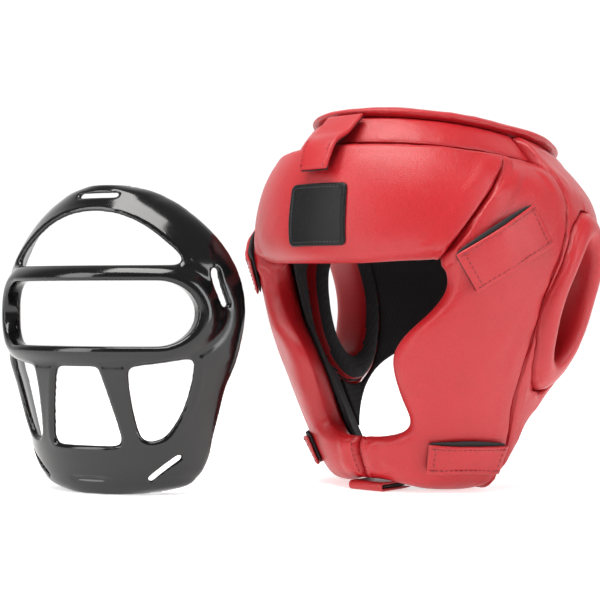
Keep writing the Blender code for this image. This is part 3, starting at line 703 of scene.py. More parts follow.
def skin_height(place, outward):
    """How far the leather stands out past a nominal place on the guard."""
    start = Vector(tuple(place + outward * RAY_START))
    hit = skins.ray_cast(start, Vector(tuple(-outward)), RAY_REACH)
    return 0.0 if hit[0] is None else RAY_START - hit[3]


def rounded_section(half, low, high, steps=4):
    """A closed strip section: across, up. Its corners are round."""
    radius = (high - low) * 0.45
    corners = ((half - radius, high - radius, 90), (-half + radius, high - radius, 180),
               (-half + radius, low + radius, 270), (half - radius, low + radius, 360))
    section = []
    for across, up, end in corners:
        for turn in np.radians(np.linspace(end - 90, end, steps)):
            section.append((across + radius * math.cos(turn), up + radius * math.sin(turn)))
    return section


def mesh_facing_out(name, points, faces):
    """A closed mesh whose faces all point away from its inside."""
    mesh = bpy.data.meshes.new(name)
    mesh.from_pydata([tuple(point) for point in points], [], faces)
    bm = bmesh.new()
    bm.from_mesh(mesh)
    bmesh.ops.recalc_face_normals(bm, faces=bm.faces)
    bm.to_mesh(mesh)
    bm.free()
    return mesh


def place_piece(name, mesh, paint):
    mesh.materials.clear()
    mesh.materials.append(paint.material)
    mesh.shade_smooth()
    mesh.set_sharp_from_angle(angle=math.radians(SHARP_ANGLE))
    obj = bpy.data.objects.new(name, mesh)
    bpy.context.collection.objects.link(obj)
    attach(obj, "root")
    return obj


def swept(name, middle, outward, section, paint, taper=1.0, wobble=0.0, lean=None, slide=None):
    """A strip with a fixed section along a path, pinched at both ends. Lean lifts one edge."""
    along = np.gradient(middle, axis=0)
    along /= np.linalg.norm(along, axis=1)[:, None]
    outward = outward - along * np.sum(outward * along, axis=1)[:, None]
    outward /= np.linalg.norm(outward, axis=1)[:, None]
    across = np.cross(along, outward)
    mean_up = sum(up for _, up in section) / len(section)
    count = len(middle)
    points = []
    slide = np.zeros(count) if slide is None else slide
    for k in range(count):
        end = min(k, count - 1 - k)
        pinch = (0.35, 0.80, 0.96)[end] if end < 3 else 1.0
        narrow = 1.0 + (taper - 1.0) * k / (count - 1)
        for side, up in section:
            height = mean_up + (up - mean_up) * pinch
            place = middle[k] + across[k] * (side * narrow * (0.97 + 0.03 * pinch) + slide[k])
            ripple = wobble * noise.noise(Vector(tuple(place * 90.0)))
            if lean is not None:
                ripple += lean[k] * side
            points.append(tuple(place + outward[k] * (height + ripple)))
    size = len(section)
    faces = [tuple(range(size - 1, -1, -1)), tuple((count - 1) * size + j for j in range(size))]
    for k in range(count - 1):
        for j in range(size):
            i = (j + 1) % size
            faces.append((k * size + j, k * size + i, (k + 1) * size + i, (k + 1) * size + j))
    return place_piece(name, mesh_facing_out(name, points, faces), paint)


def along_path(points, count):
    """Even stations along a path through a few points."""
    points = np.asarray(points)
    run = np.concatenate([[0.0], np.cumsum(np.linalg.norm(np.diff(points, axis=0), axis=1))])
    at = np.linspace(0.0, run[-1], count)
    slopes = np.gradient(points, run, axis=0)
    i = np.clip(np.searchsorted(run, at, side="right") - 1, 0, len(run) - 2)
    h = (run[i + 1] - run[i])[:, None]
    t = ((at - run[i])[:, None]) / h
    return ((2 * t**3 - 3 * t**2 + 1) * points[i] + (t**3 - 2 * t**2 + t) * h * slopes[i]
            + (3 * t**2 - 2 * t**3) * points[i + 1] + (t**3 - t**2) * h * slopes[i + 1])


print("strap tools ready")

# %% [markdown]
# Four short straps hold the grill when it is worn: two at the temples and two at the jaw.
# Each is a leather strip backed with black hook tape and sewn down at its ends and lower edge.
# Its upper edge stands off the cheek, where the grill's tongue goes in. Along the middle the black
# hook tape is slid out past that edge and the leather a little back, so the dark slit there is
# partly the real tape and partly painted shade: a black band where the gap's shadow falls.

# %% Temple and jaw straps
STRAP_STATIONS = 40
STRAP_CLEARANCE = 0.0003
STRAP_RISE = 0.0028
STRAP_WOBBLE = 0.0006
# Painted shade: how far the black hook tape is slid out past the strap's upper edge to draw the
# dark slit
SHADE_TAPE_SLIDE = 0.0030
LEATHER_SLIDE = -0.0006
LEVELLING_PASSES = 6
END_STITCHES = 12
# Columns: name, start angle, start height share, end angle, end height share, width
STRAP_ROWS = (
    ("temple_strap", 49.0, 0.565, 75.0, 0.705, 0.029),
    ("jaw_strap", 39.0, 0.098, 79.0, 0.090, 0.021),
)
# Columns: layer, inset, low, high, paint
STRAP_LAYERS = (("under", 0.0009, 0.0000, 0.0019, HOOK_TAPE), ("upper", 0.0, 0.0020, 0.0045, RED))
stitch_paths = []


def strap_path(side, row):
    _, start_angle, start_up, end_angle, end_up, width = row
    share = np.linspace(0.0, 1.0, STRAP_STATIONS)
    degrees = (start_angle + (end_angle - start_angle) * share) * side
    ups = start_up + (end_up - start_up) * share
    middle = shell_point(degrees, ups)
    outward = shell_outward(degrees, ups)
    along = np.gradient(middle, axis=0)
    across = np.cross(along, outward)
    across /= np.linalg.norm(across, axis=1)[:, None]
    lift = []
    for place, out, sideways in zip(middle, outward, across):
        lift.append(max(skin_height(place + sideways * width * part, out)
                        for part in (-0.5, -0.25, 0.0, 0.25, 0.5)))
    lift = np.array(lift)
    for _ in range(LEVELLING_PASSES):
        lift[1:-1] = np.maximum(lift[1:-1], (lift[:-2] + lift[2:]) / 2)
    return middle + outward * (lift + STRAP_CLEARANCE)[:, None], outward, across


for row in STRAP_ROWS:
    for side, word in ((1, "left"), (-1, "right")):
        middle, outward, across = strap_path(side, row)
        node = f"{row[0]}_{word}"
        width = row[5]
        sag = np.sin(np.linspace(0.0, math.pi, STRAP_STATIONS)) ** 0.5
        lean = -side * STRAP_RISE / width * sag
        for layer, inset, low, high, paint in STRAP_LAYERS:
            section = rounded_section(width / 2 - inset, low, high)
            # The tape slides out under the lifted edge as painted shade of the slit, and the
            # leather a little back from it
            shift = -side * (SHADE_TAPE_SLIDE if paint is HOOK_TAPE else LEATHER_SLIDE) * sag
            piece = swept(f"{node}_{layer}", middle, outward, section, paint, 1.0, STRAP_WOBBLE,
                          lean, shift)
            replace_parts(piece, node)
        top = middle + outward * STRAP_LAYERS[1][3]
        for edge in (-1, 1):
            half = edge * (width / 2 - STITCH_INSET)
            line = top + across * half + outward * (lean * half)[:, None]
            line = line[2:-2]
            stitch_paths.append((f"{node}_stitch_{edge}", line, outward[2:-2]))
        for k in (3, -4):
            share = np.linspace(-1, 1, END_STITCHES)[:, None] * (width / 2 - STITCH_INSET)
            line = top[k] + (across[k] + outward[k] * lean[k]) * share
            facing = np.repeat(outward[k:k + 1], END_STITCHES, 0)
            stitch_paths.append((f"{node}_end_{k}", line, facing))
        print(node, "made of", len(STRAP_LAYERS), "layers")

# %% [markdown]
# The crown strap tightens the guard. It comes out from under the top cover, drops over the step in
# front and ends in a free tip on the brow. Its path has a bulge where it bridges the step.
# The tip stands off a little, so a dark line and a shadow show under it. Along its middle the hook
# tape is slid out past one edge, so a black band there is painted shade beside the strap.

# %% Crown strap
CROWN_STRAP_WIDTH = 0.028
CROWN_STRAP_TAPER = 0.82
CROWN_STRAP_STATIONS = 34
# Painted shade: how far the black hook tape is slid out past one edge of the crown strap
CROWN_SHADE_TAPE_SLIDE = 0.0022
CROWN_STRAP_SINK = 0.0016
# Columns: height share, depth in the padding, height over the leather, outward y and z
CROWN_STRAP_STOPS = ((0.988, 0.008, 0.0002, -1.0, 0.10), (0.922, 0.004, 0.0024, -1.0, 0.30),
                     (0.885, 0.0, 0.0038, -1.0, 0.62), (0.855, 0.0, 0.0034, -1.0, 0.40),
                     (0.823, 0.0, 0.0036, -1.0, 0.22))
# Columns: layer, inset, low, high, paint
CROWN_LAYERS = (("under", 0.0005, 0.0000, 0.0013, HOOK_TAPE), ("upper", 0.0, 0.0014, 0.0045, RED))


def crown_strap_path():
    places, outwards = [], []
    for up, inset, lift, y, z in CROWN_STRAP_STOPS:
        direction = np.array([0.0, y, z]) / math.hypot(y, z)
        places.append(shell_point(0.0, up, inset) + direction * lift)
        outwards.append(direction)
    places[0][2] -= CROWN_STRAP_SINK
    outward = along_path(outwards, CROWN_STRAP_STATIONS)
    outward /= np.linalg.norm(outward, axis=1)[:, None]
    return along_path(places, CROWN_STRAP_STATIONS), outward


middle, outward = crown_strap_path()
sag = np.sin(np.linspace(0.0, math.pi, len(middle))) ** 0.5
for layer, inset, low, high, paint in CROWN_LAYERS:
    section = rounded_section(CROWN_STRAP_WIDTH / 2 - inset, low, high)
    # The tape slides out past one edge as painted shade beside the strap
    shift = (CROWN_SHADE_TAPE_SLIDE if paint is HOOK_TAPE else 0.0) * sag
    piece = swept(f"crown_strap_{layer}", middle, outward, section, paint, CROWN_STRAP_TAPER,
                  STRAP_WOBBLE, None, shift)
    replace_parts(piece, "top_strap")
narrow = np.linspace(1.0, CROWN_STRAP_TAPER, len(middle))[:, None]
for edge in (-1, 1):
    half = (CROWN_STRAP_WIDTH / 2) * narrow - STITCH_INSET
    line = middle + outward * CROWN_LAYERS[1][3] + np.array([edge, 0.0, 0.0]) * half
    stitch_paths.append((f"crown_strap_stitch_{edge}", line[1:-2], outward[1:-2]))
print("crown strap with", len(middle), "stations")

# %% [markdown]
# The chin strap is a short loop with hook tape inside, pressed flat where the guard stands on it.
# It is one leather strip that runs back under the chin, turns at the front and returns on top.

# %% Chin strap
CHIN_STRAP_WIDTH = 0.027
CHIN_STRAP_HALF_WALL = 0.0008
CHIN_STRAP_STATIONS = 9
low, high = np.array(strap_low), np.array(strap_high)
bend = (high[2] - low[2]) / 2 - CHIN_STRAP_HALF_WALL
nose = low[1] + bend + CHIN_STRAP_HALF_WALL
centre_up = (low[2] + high[2]) / 2
straight = np.linspace(high[1] - 0.001, nose + 0.002, CHIN_STRAP_STATIONS)
turn = np.linspace(math.pi / 2, 3 * math.pi / 2, 13)
side_view = [(y, centre_up + bend) for y in straight]
side_view += [(nose + bend * math.cos(t), centre_up + bend * math.sin(t)) for t in turn]
side_view += [(y, centre_up - bend) for y in straight[::-1]]
loop = np.array([(guard_middle[0], y, z) for y, z in side_view])
run = np.gradient(loop, axis=0)
loop_out = np.cross(run, np.array([-1.0, 0.0, 0.0]))
loop_out /= np.linalg.norm(loop_out, axis=1)[:, None]
section = rounded_section(CHIN_STRAP_WIDTH / 2, -CHIN_STRAP_HALF_WALL, CHIN_STRAP_HALF_WALL)
piece = swept("chin_strap_leather", loop, loop_out, section, RED)
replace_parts(piece, "chin_strap")
core_along = np.linspace(nose + 0.001, high[1] - 0.0004, CHIN_STRAP_STATIONS)
core = np.array([(guard_middle[0], y, centre_up) for y in core_along])
core_out = np.repeat([[0.0, 0.0, 1.0]], CHIN_STRAP_STATIONS, 0)
section = rounded_section(CHIN_STRAP_WIDTH / 2 - 0.001, -bend + 0.001, bend - 0.001)
piece = swept("chin_strap_tape", core, core_out, section, HOOK_TAPE)
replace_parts(piece, "chin_strap")
print("chin strap loop of", len(loop), "stations")

# %% [markdown]
# A plain rubber patch is sewn on the brow. It is a rounded rectangle laid over the leather,
# with a low raised border and a field of small pressed cells.

# %% Patch
PATCH_WIDTH = 0.046
PATCH_HEIGHT = 0.040
PATCH_UP = 0.179
PATCH_CORNER = 0.0035
PATCH_FIELD = 0.00110
PATCH_FOOT = 0.00005
PATCH_STITCH_INSET = 0.0026
# Columns: share of the way out, height over the leather
PATCH_PROFILE = tuple((share, PATCH_FIELD) for share in (0.10, 0.30, 0.50, 0.70, 0.84)) + (
    (0.875, 0.00115), (0.90, 0.00150), (0.93, 0.00165), (0.96, 0.00160), (0.985, 0.00135),
    (1.00, 0.00080), (1.00, PATCH_FOOT))


def patch_point(across, up, height):
    degrees = math.degrees(math.asin(across / HALF_WIDTH))
    ups = np.array([(PATCH_UP + up) / SHELL_HEIGHT])
    outward = shell_outward(np.array([degrees]), ups)[0]
    place = shell_point(np.array([degrees]), ups)[0]
    return place + outward * (patch_lift(across, up) + height)


def patch_lift(across, up):
    """A smooth height of the patch over the nominal shape, fitted to the leather under it."""
    u, v = across / PATCH_WIDTH, up / PATCH_HEIGHT
    return float(np.dot(patch_fit, [1.0, u, v, u * u, v * v, u * v])) + patch_spare


def fit_patch():
    rows, heights = [], []
    for u in np.linspace(-0.5, 0.5, 9):
        for v in np.linspace(-0.5, 0.5, 9):
            degrees = np.array([math.degrees(math.asin(u * PATCH_WIDTH / HALF_WIDTH))])
            ups = np.array([(PATCH_UP + v * PATCH_HEIGHT) / SHELL_HEIGHT])
            height = skin_height(shell_point(degrees, ups)[0], shell_outward(degrees, ups)[0])
            rows.append([1.0, u, v, u * u, v * v, u * v])
            heights.append(height)
    fit = np.linalg.lstsq(np.array(rows), np.array(heights), rcond=None)[0]
    spare = float(np.max(np.array(heights) - np.array(rows) @ fit))
    return fit, spare


patch_fit, patch_spare = fit_patch()


def rounded_rectangle(width, height, radius, steps=7, stations=12):
    """A closed outline with round corners, and stations along its straight sides."""
    corners = ((1, 1, 0), (-1, 1, 90), (-1, -1, 180), (1, -1, 270))

    def on_corner(corner, t):
        side, rise, _ = corner
        return np.array([side * (width / 2 - radius) + radius * math.cos(t),
                         rise * (height / 2 - radius) + radius * math.sin(t)])

    outline = []
    for corner, following in zip(corners, corners[1:] + corners[:1]):
        outline += [on_corner(corner, t)
                    for t in np.radians(np.linspace(corner[2], corner[2] + 90, steps))]
        end, goal = outline[-1], on_corner(following, math.radians(following[2]))
        outline += [end + (goal - end) * share for share in np.linspace(0, 1, stations)[1:-1]]
    return outline


def make_patch():
    outline = rounded_rectangle(PATCH_WIDTH, PATCH_HEIGHT, PATCH_CORNER)
    size = len(outline)
    points = [tuple(patch_point(0.0, 0.0, PATCH_PROFILE[0][1]))]
    for share, height in PATCH_PROFILE:
        points += [tuple(patch_point(x * share, z * share, height)) for x, z in outline]
    points.append(tuple(patch_point(0.0, 0.0, PATCH_FOOT)))
    faces = [(0, 1 + k, 1 + (k + 1) % size) for k in range(size)]
    for ring in range(len(PATCH_PROFILE) - 1):
        for k in range(size):
            a, b = 1 + ring * size + k, 1 + ring * size + (k + 1) % size
            faces.append((a, a + size, b + size, b))
    last = 1 + (len(PATCH_PROFILE) - 1) * size
    faces += [(len(points) - 1, last + (k + 1) % size, last + k) for k in range(size)]
    return place_piece("bare_patch", mesh_facing_out("bare_patch", points, faces), PATCH)


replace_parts(make_patch(), "label_patch")
inset = rounded_rectangle(PATCH_WIDTH - 2 * PATCH_STITCH_INSET,
                          PATCH_HEIGHT - 2 * PATCH_STITCH_INSET, 0.0022)
line = np.array([patch_point(x, z, PATCH_FIELD) for x, z in inset + inset[:1]])
facing = np.repeat([[0.0, -1.0, 0.15]], len(line), 0)
patch_stitches = ("patch_stitch", line, facing)
print("patch spare lift mm", round(1000 * patch_spare, 2))

# %% [markdown]
# The face grill is one moulding: a curved wall as wide as the face, bowed out before the eyes and
# drawn in to a narrow chin and a narrow crown. A table gives its width, its depth and how far back
# it sits at each height. Openings are drawn in front view and cut straight through.

# %% Grill shape
GRILL_HEIGHT = 0.200
GRILL_HALF_WIDTH = 0.090
GRILL_DEPTH = 0.092
GRILL_WALL = 0.0045
GRILL_SET_BACK = 0.031
GRILL_ROUNDNESS = 2.2
GRILL_EDGE_SHARE = 0.965
EYE_HALF_WIDTH = 0.0729
EYE_HALF_HEIGHT = 0.0205
EYE_UP = 0.1165
GRILL_ACROSS = -0.116
GRILL_AHEAD = -0.217
GRILL_PLACE = guard_middle + np.array([GRILL_ACROSS, GRILL_AHEAD, 0.0])
GRILL_TURN = math.radians(15.0)
# Columns: height share, half width share, depth share, set back share
GRILL_ROWS = (
    (0.000, 0.40, 0.46, 0.75), (0.018, 0.55, 0.52, 0.70), (0.055, 0.66, 0.60, 0.60),
    (0.110, 0.73, 0.68, 0.48), (0.180, 0.77, 0.74, 0.36), (0.260, 0.82, 0.80, 0.24),
    (0.340, 0.87, 0.86, 0.12), (0.420, 0.94, 0.94, 0.02), (0.500, 0.98, 0.98, 0.00),
    (0.580, 1.00, 1.00, 0.00), (0.650, 0.99, 0.98, 0.03), (0.720, 0.95, 0.92, 0.10),
    (0.780, 0.88, 0.84, 0.22), (0.840, 0.78, 0.72, 0.38), (0.900, 0.64, 0.56, 0.58),
    (0.950, 0.48, 0.40, 0.80), (0.985, 0.30, 0.26, 0.94), (1.000, 0.16, 0.18, 1.00),
)
# Half outlines in front view. Columns: across share, height share
BROW_WINDOW = ((0.00, 0.912), (0.16, 0.905), (0.30, 0.888), (0.44, 0.858), (0.57, 0.815),
               (0.67, 0.775), (0.705, 0.752), (0.69, 0.738), (0.64, 0.735), (0.00, 0.735))
MOUTH_WINDOW = ((0.00, 0.415), (0.165, 0.415), (0.185, 0.400), (0.285, 0.200), (0.275, 0.172),
                (0.245, 0.163), (0.00, 0.163))
CHEEK_WINDOW = ((0.41, 0.415), (0.60, 0.425), (0.77, 0.440), (0.785, 0.425), (0.75, 0.360),
                (0.68, 0.270), (0.58, 0.195), (0.50, 0.178), (0.43, 0.182), (0.405, 0.215),
                (0.385, 0.310), (0.388, 0.400))
# Slots. Columns: across share, height share, across share, height share
SLOT_ENDS = ((-0.155, 0.962, 0.155, 0.962), (-0.155, 0.052, 0.155, 0.052),
             (0.865, 0.720, 0.930, 0.610), (0.430, 0.055, 0.620, 0.125))
SLOT_WIDTH = 0.0028


def cut_corners(outline, times=3):
    """Round a closed outline by cutting each corner again and again."""
    for _ in range(times):
        outline = np.asarray(outline)
        after = np.roll(outline, -1, axis=0)
        pairs = np.stack([outline * 0.75 + after * 0.25, outline * 0.25 + after * 0.75], 1)
        outline = pairs.reshape(-1, 2)
    return outline


def front_view(shares):
    return np.array([(x * GRILL_HALF_WIDTH, z * GRILL_HEIGHT) for x, z in shares])


def mirrored(half):
    """The whole outline from its half, which starts and ends on the middle line."""
    right = front_view(half)
    return np.concatenate([right, (right * (-1, 1))[::-1][1:-1]])


def stadium(a, b, radius, steps=9):
    """A slot's outline: two half circles round a and b."""
    angle = math.atan2(b[1] - a[1], b[0] - a[0])
    outline = []
    for end, start in ((b, -math.pi / 2), (a, math.pi / 2)):
        for t in angle + np.linspace(start, start + math.pi, steps):
            outline.append((end[0] + radius * math.cos(t), end[1] + radius * math.sin(t)))
    return np.array(outline)


core_half = EYE_HALF_WIDTH - EYE_HALF_HEIGHT
EYE = stadium((-core_half, EYE_UP), (core_half, EYE_UP), EYE_HALF_HEIGHT, 25)
windows = [cut_corners(mirrored(BROW_WINDOW)), cut_corners(mirrored(MOUTH_WINDOW))]
windows += [cut_corners(front_view(CHEEK_WINDOW) * (side, 1))[::side] for side in (1, -1)]
slots = []
for x0, z0, x1, z1 in SLOT_ENDS:
    for side in (1, -1) if x0 > 0 else (1,):
        ends = front_view(((side * x0, z0), (side * x1, z1)))
        slots.append(stadium(ends[0], ends[1], SLOT_WIDTH / 2))


def evenly(outline, spacing):
    """A closed outline with no two points further apart than the spacing."""
    filled = []
    for a, b in zip(outline, np.roll(outline, -1, axis=0)):
        steps = max(1, math.ceil(float(np.linalg.norm(b - a)) / spacing))
        filled += [a + (b - a) * k / steps for k in range(steps)]
    return np.array(filled)


def distance_to(outline, x, z):
    """Distance in front view from each place to a closed outline."""
    best = np.full(x.shape, 1.0)
    for a, b in zip(outline, np.roll(outline, -1, axis=0)):
        d = b - a
        share = ((x - a[0]) * d[0] + (z - a[1]) * d[1]) / max(float(d @ d), 1e-12)
        share = np.clip(share, 0.0, 1.0)
        best = np.minimum(best, np.hypot(x - a[0] - share * d[0], z - a[1] - share * d[1]))
    return best


print(len(windows), "windows,", len(slots), "slots")

# %% [markdown]
# What makes it look moulded is its relief. A thick round lip runs right round the eye opening with
# a shallow groove outside it, a thin bead follows each window, and every bar rolls over towards
# its edges. All of it comes from the distance to the nearest outline, so they follow any shape.

# %% Grill wall
GRILL_ROWS_FINE = 170
GRILL_COLUMNS_FINE = 200
# Ridges. Columns: distance from the opening's edge, half width, height
LIP = (0.0034, 0.0050, 0.0032)
GROOVE = (0.0115, 0.0022, 0.0009)
LIP_FOOT = (0.0032, 0.0080, 1.0)
BEAD = (0.0026, 0.0010, 0.0009)
BAR_ROLL = 0.0014
BAR_ROLL_WIDTH = 0.0055


def grill_face(across, up_share):
    half = GRILL_HALF_WIDTH * smooth_column(GRILL_ROWS, 1, up_share)
    deep = GRILL_DEPTH * smooth_column(GRILL_ROWS, 2, up_share)
    back = GRILL_SET_BACK * smooth_column(GRILL_ROWS, 3, up_share)
    bend = np.clip(np.abs(across) * GRILL_EDGE_SHARE, 0.0, 1.0) ** GRILL_ROUNDNESS
    set_back = deep * (1.0 - (1.0 - bend) ** (1.0 / GRILL_ROUNDNESS))
    return np.stack([across * half, back + set_back, GRILL_HEIGHT * up_share], axis=-1)


def ridge(distance, at, width, height):
    return np.exp(-(((distance - at) / width) ** 2)) * height


def closed_wall(outer, inner):
    """Two faces of a wall, joined round their rim."""
    rows, cols = outer.shape[:2]
    shift = rows * cols
    faces = []
    for r in range(rows - 1):
        for c in range(cols - 1):
            quad = [r * cols + c, r * cols + c + 1, (r + 1) * cols + c + 1, (r + 1) * cols + c]
            faces += [quad, [shift + k for k in reversed(quad)]]
    rim = list(range(cols)) + [r * cols + cols - 1 for r in range(1, rows)]
    rim += [(rows - 1) * cols + c for c in range(cols - 2, -1, -1)]
    rim += [r * cols for r in range(rows - 2, 0, -1)]
    for here, after in zip(rim, rim[1:] + rim[:1]):
        faces.append([here, shift + here, shift + after, after])
    return np.concatenate([outer.reshape(-1, 3), inner.reshape(-1, 3)]), faces


def mesh_object(name, points, faces):
    obj = bpy.data.objects.new(name, mesh_facing_out(name, points, faces))
    bpy.context.collection.objects.link(obj)
    return obj


def grill_outward(x, z):
    """The wall's outward direction at a place of the front view, and that place on the wall."""
    up_share = np.clip(z / GRILL_HEIGHT, 0.002, 0.998)
    share = np.clip(x / (GRILL_HALF_WIDTH * smooth_column(GRILL_ROWS, 1, up_share)), -0.985, 0.985)
    along = grill_face(share + 0.01, up_share) - grill_face(share - 0.01, up_share)
    direction = np.stack([along[:, 1], -along[:, 0], np.zeros(len(x))], axis=-1)
    return direction / np.linalg.norm(direction, axis=1)[:, None], grill_face(share, up_share)


turn = np.linspace(-1.0, 1.0, GRILL_COLUMNS_FINE)
across = np.sign(turn) * (1.0 - (1.0 - np.abs(turn)) ** 1.25)
across = across[None, :] + np.zeros((GRILL_ROWS_FINE, 1))
rise = np.linspace(0.0, 1.0, GRILL_ROWS_FINE)[:, None] + 0.0 * across
face = grill_face(across, rise)
outward = np.cross(np.gradient(face, axis=1), np.gradient(face, axis=0))
outward[:, :, 2] = 0.0
outward /= np.linalg.norm(outward, axis=2)[:, :, None]
x, z = face[:, :, 0], face[:, :, 2]
gap = np.hypot(np.clip(np.abs(x) - core_half, 0.0, None), z - EYE_UP) - EYE_HALF_HEIGHT
lip, groove, wide_lip = ridge(gap, *LIP), ridge(gap, *GROOVE), ridge(gap, *LIP_FOOT)
edge = np.full(x.shape, 1.0)
for outline in windows:
    edge = np.minimum(edge, distance_to(outline, x, z))
bead = ridge(edge, *BEAD)
steps = np.linalg.norm(np.diff(face, axis=1), axis=2)
run = np.concatenate([np.zeros((GRILL_ROWS_FINE, 1)), np.cumsum(steps, axis=1)], 1)
edge = np.minimum(edge, np.minimum(run, run[:, -1:] - run))
edge = np.minimum(edge, np.minimum(z, GRILL_HEIGHT - z))
crown = BAR_ROLL * (1.0 - np.clip(1.0 - edge / BAR_ROLL_WIDTH, 0.0, 1.0) ** 2) - 0.0012
outer = face + outward * (lip - groove + (crown + bead) * (1.0 - wide_lip))[:, :, None]
inner = face - outward * (GRILL_WALL - 0.0004 + 0.005 * wide_lip)[:, :, None]
wall = mesh_object("grill_moulding", *closed_wall(outer, inner))
print("grill wall", len(wall.data.polygons), "faces")

# %% [markdown]
# The openings are cut square to the wall, as a tool that follows the moulding would leave them.
# Then the whole moulding is remeshed finely and relaxed a little, which rolls every sharp edge
# over by a millimetre or so, as moulded edges are. Last it is turned and set beside the guard.

# %% Cut the openings and round the edges
CUTTER_SPACING = 0.003
REMESH_SIZE = 0.0011
RELAX_PASSES = 9
points, faces = [], []
for outline in [EYE] + windows + slots:
    outline = evenly(outline, CUTTER_SPACING)
    start, size = len(points), len(outline)
    direction, on_wall = grill_outward(outline[:, 0], outline[:, 1])
    outside, inside = on_wall + direction * 0.006, on_wall - direction * 0.012
    rings = [outside * (1, 0, 1) - (0, 0.06, 0), outside, inside, inside * (1, 0, 1) + (0, 0.16, 0)]
    points += [place for ring in rings for place in ring]
    last = start + 3 * size
    faces += [list(range(start, start + size)), list(range(last + size - 1, last - 1, -1))]
    for first in range(start, last, size):
        for k in range(size):
            after = (k + 1) % size
            faces.append([first + k, first + size + k, first + size + after, first + after])
cutter = mesh_object("grill_cutter", points, faces)
modifier = wall.modifiers.new("openings", "BOOLEAN")
modifier.operation = "DIFFERENCE"
modifier.solver = "EXACT"
modifier.object = cutter
apply_modifiers(wall)
bpy.data.objects.remove(cutter)
modifier = wall.modifiers.new("remesh", "REMESH")
modifier.mode = "VOXEL"
modifier.voxel_size = REMESH_SIZE
apply_modifiers(wall)
modifier = wall.modifiers.new("relax", "SMOOTH")
modifier.factor = 0.5
modifier.iterations = RELAX_PASSES
apply_modifiers(wall)
x, y, z = places_of(wall.data).T
cosine, sine = math.cos(GRILL_TURN), math.sin(GRILL_TURN)
turned = np.stack([x * cosine - y * sine, x * sine + y * cosine, z], axis=-1)
move_to(wall.data, turned + GRILL_PLACE)
for polygon in wall.data.polygons:
    polygon.use_smooth = True
wall.data.materials.append(PLASTIC.material)
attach(wall, "root")
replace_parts(wall, "face_grill")
print("grill moulding", len(wall.data.polygons), "faces")

# %% [markdown]
# Stitches repeat along a line, so they are made by Geometry Nodes: the line is resampled at the
# stitch pitch, and a short rounded thread is set on each point, turned along the line. One node
# group serves every row, with the pitch, the length and the thickness as its named inputs.

# %% Stitches
THREAD_SEGMENTS = 8
THREAD_RINGS = 6
CHIN_SEAM_DEGREES = 3.1
CHIN_SEAM_LOW = 0.046
CHIN_SEAM_HIGH = 0.128
CHIN_SEAM_STATIONS = 24


def add_socket(group, name, kind, value=None):
    socket = group.interface.new_socket(name=name, in_out="INPUT", socket_type=kind)
    if value is not None:
        socket.default_value = value
    return socket.identifier


stitcher = bpy.data.node_groups.new("stitch_row", "GeometryNodeTree")
stitcher.interface.new_socket(name="Geometry", in_out="OUTPUT", socket_type="NodeSocketGeometry")
add_socket(stitcher, "Geometry", "NodeSocketGeometry")
SOCKETS = {
    "pitch": add_socket(stitcher, "Pitch", "NodeSocketFloat", 0.0034),
    "length": add_socket(stitcher, "Length", "NodeSocketFloat", 0.0024),
    "thickness": add_socket(stitcher, "Thickness", "NodeSocketFloat", 0.0005),
    "thread": add_socket(stitcher, "Thread", "NodeSocketMaterial"),
}


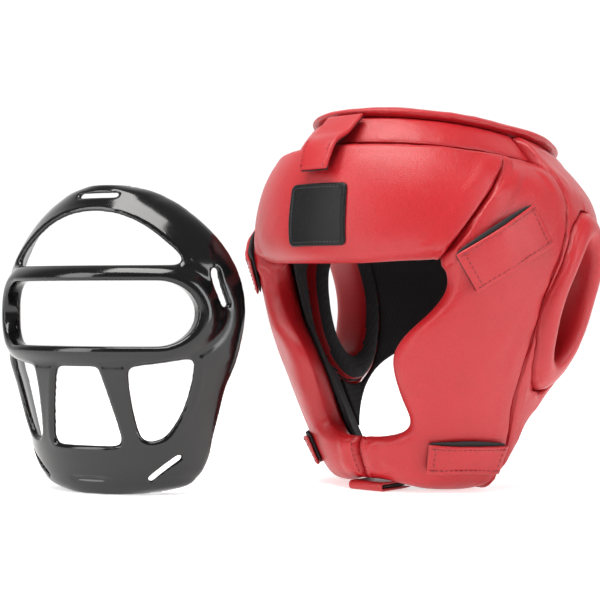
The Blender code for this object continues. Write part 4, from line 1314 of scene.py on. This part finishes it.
def wire_stitcher(group):
    nodes, links = group.nodes, group.links

    def add(kind, **settings):
        node = nodes.new(kind)
        for key, value in settings.items():
            setattr(node, key, value)
        return node

    enter, leave = add("NodeGroupInput"), add("NodeGroupOutput")
    curve = add("GeometryNodeMeshToCurve")
    resample = add("GeometryNodeResampleCurve", mode="LENGTH")
    tangent = add("GeometryNodeInputTangent")
    turn_to = add("FunctionNodeAlignEulerToVector", axis="Z")
    thread = add("GeometryNodeMeshUVSphere")
    size = add("ShaderNodeCombineXYZ")
    instance = add("GeometryNodeInstanceOnPoints")
    real = add("GeometryNodeRealizeInstances")
    paint = add("GeometryNodeSetMaterial")
    thread.inputs["Segments"].default_value = THREAD_SEGMENTS
    thread.inputs["Rings"].default_value = THREAD_RINGS
    thread.inputs["Radius"].default_value = 0.5
    links.new(enter.outputs["Geometry"], curve.inputs["Mesh"])
    links.new(curve.outputs["Curve"], resample.inputs["Curve"])
    links.new(enter.outputs["Pitch"], resample.inputs["Length"])
    links.new(resample.outputs["Curve"], instance.inputs["Points"])
    links.new(thread.outputs["Mesh"], instance.inputs["Instance"])
    links.new(tangent.outputs["Tangent"], turn_to.inputs["Vector"])
    links.new(turn_to.outputs["Rotation"], instance.inputs["Rotation"])
    links.new(enter.outputs["Thickness"], size.inputs["X"])
    links.new(enter.outputs["Thickness"], size.inputs["Y"])
    links.new(enter.outputs["Length"], size.inputs["Z"])
    links.new(size.outputs["Vector"], instance.inputs["Scale"])
    links.new(instance.outputs["Instances"], real.inputs["Geometry"])
    links.new(real.outputs["Geometry"], paint.inputs["Geometry"])
    links.new(enter.outputs["Thread"], paint.inputs["Material"])
    links.new(paint.outputs["Geometry"], leave.inputs["Geometry"])


wire_stitcher(stitcher)


def stitch(name, line, paint, pitch=0.0034, length=0.0027, thickness=0.0008):
    """A row of stitches along a line, baked to a plain mesh."""
    mesh = bpy.data.meshes.new(name)
    mesh.from_pydata([tuple(p) for p in line], [(k, k + 1) for k in range(len(line) - 1)], [])
    obj = bpy.data.objects.new(name, mesh)
    bpy.context.collection.objects.link(obj)
    modifier = obj.modifiers.new("stitches", "NODES")
    modifier.node_group = stitcher
    modifier[SOCKETS["pitch"]] = pitch
    modifier[SOCKETS["length"]] = length
    modifier[SOCKETS["thickness"]] = thickness
    modifier[SOCKETS["thread"]] = paint.material
    apply_modifiers(obj)
    obj.data.shade_smooth()
    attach(obj, "root")
    return len(obj.data.polygons) // (THREAD_SEGMENTS * THREAD_RINGS)


def on_skin(degrees, ups, lift=0.0001):
    """A line laid on the leather."""
    places = shell_point(degrees, ups)
    outward = shell_outward(degrees, ups)
    heights = np.array([skin_height(p, o) for p, o in zip(places, outward)])
    return places + outward * (heights + lift)[:, None]


stitches = 0
# The red thread below is darker than the leather partly as painted shade of the stitch grooves
for name, line, outward in stitch_paths:
    stitches += stitch(name, line + outward * 0.00005, RED_THREAD_AND_GROOVE_SHADE)
stitches += stitch(patch_stitches[0], patch_stitches[1], DARK_THREAD, 0.0026, 0.0019, 0.0005)
for side in (-1, 1):
    ups = np.linspace(CHIN_SEAM_LOW, CHIN_SEAM_HIGH, CHIN_SEAM_STATIONS)
    line = on_skin(np.full(CHIN_SEAM_STATIONS, CHIN_SEAM_DEGREES * side), ups)
    stitches += stitch(f"chin_stitch_{side}", line, RED_THREAD_AND_GROOVE_SHADE)
print(stitches, "stitches")

# %% Finish
low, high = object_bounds()
print("scene size mm", [round(1000 * (h - l), 1) for l, h in zip(low, high)])
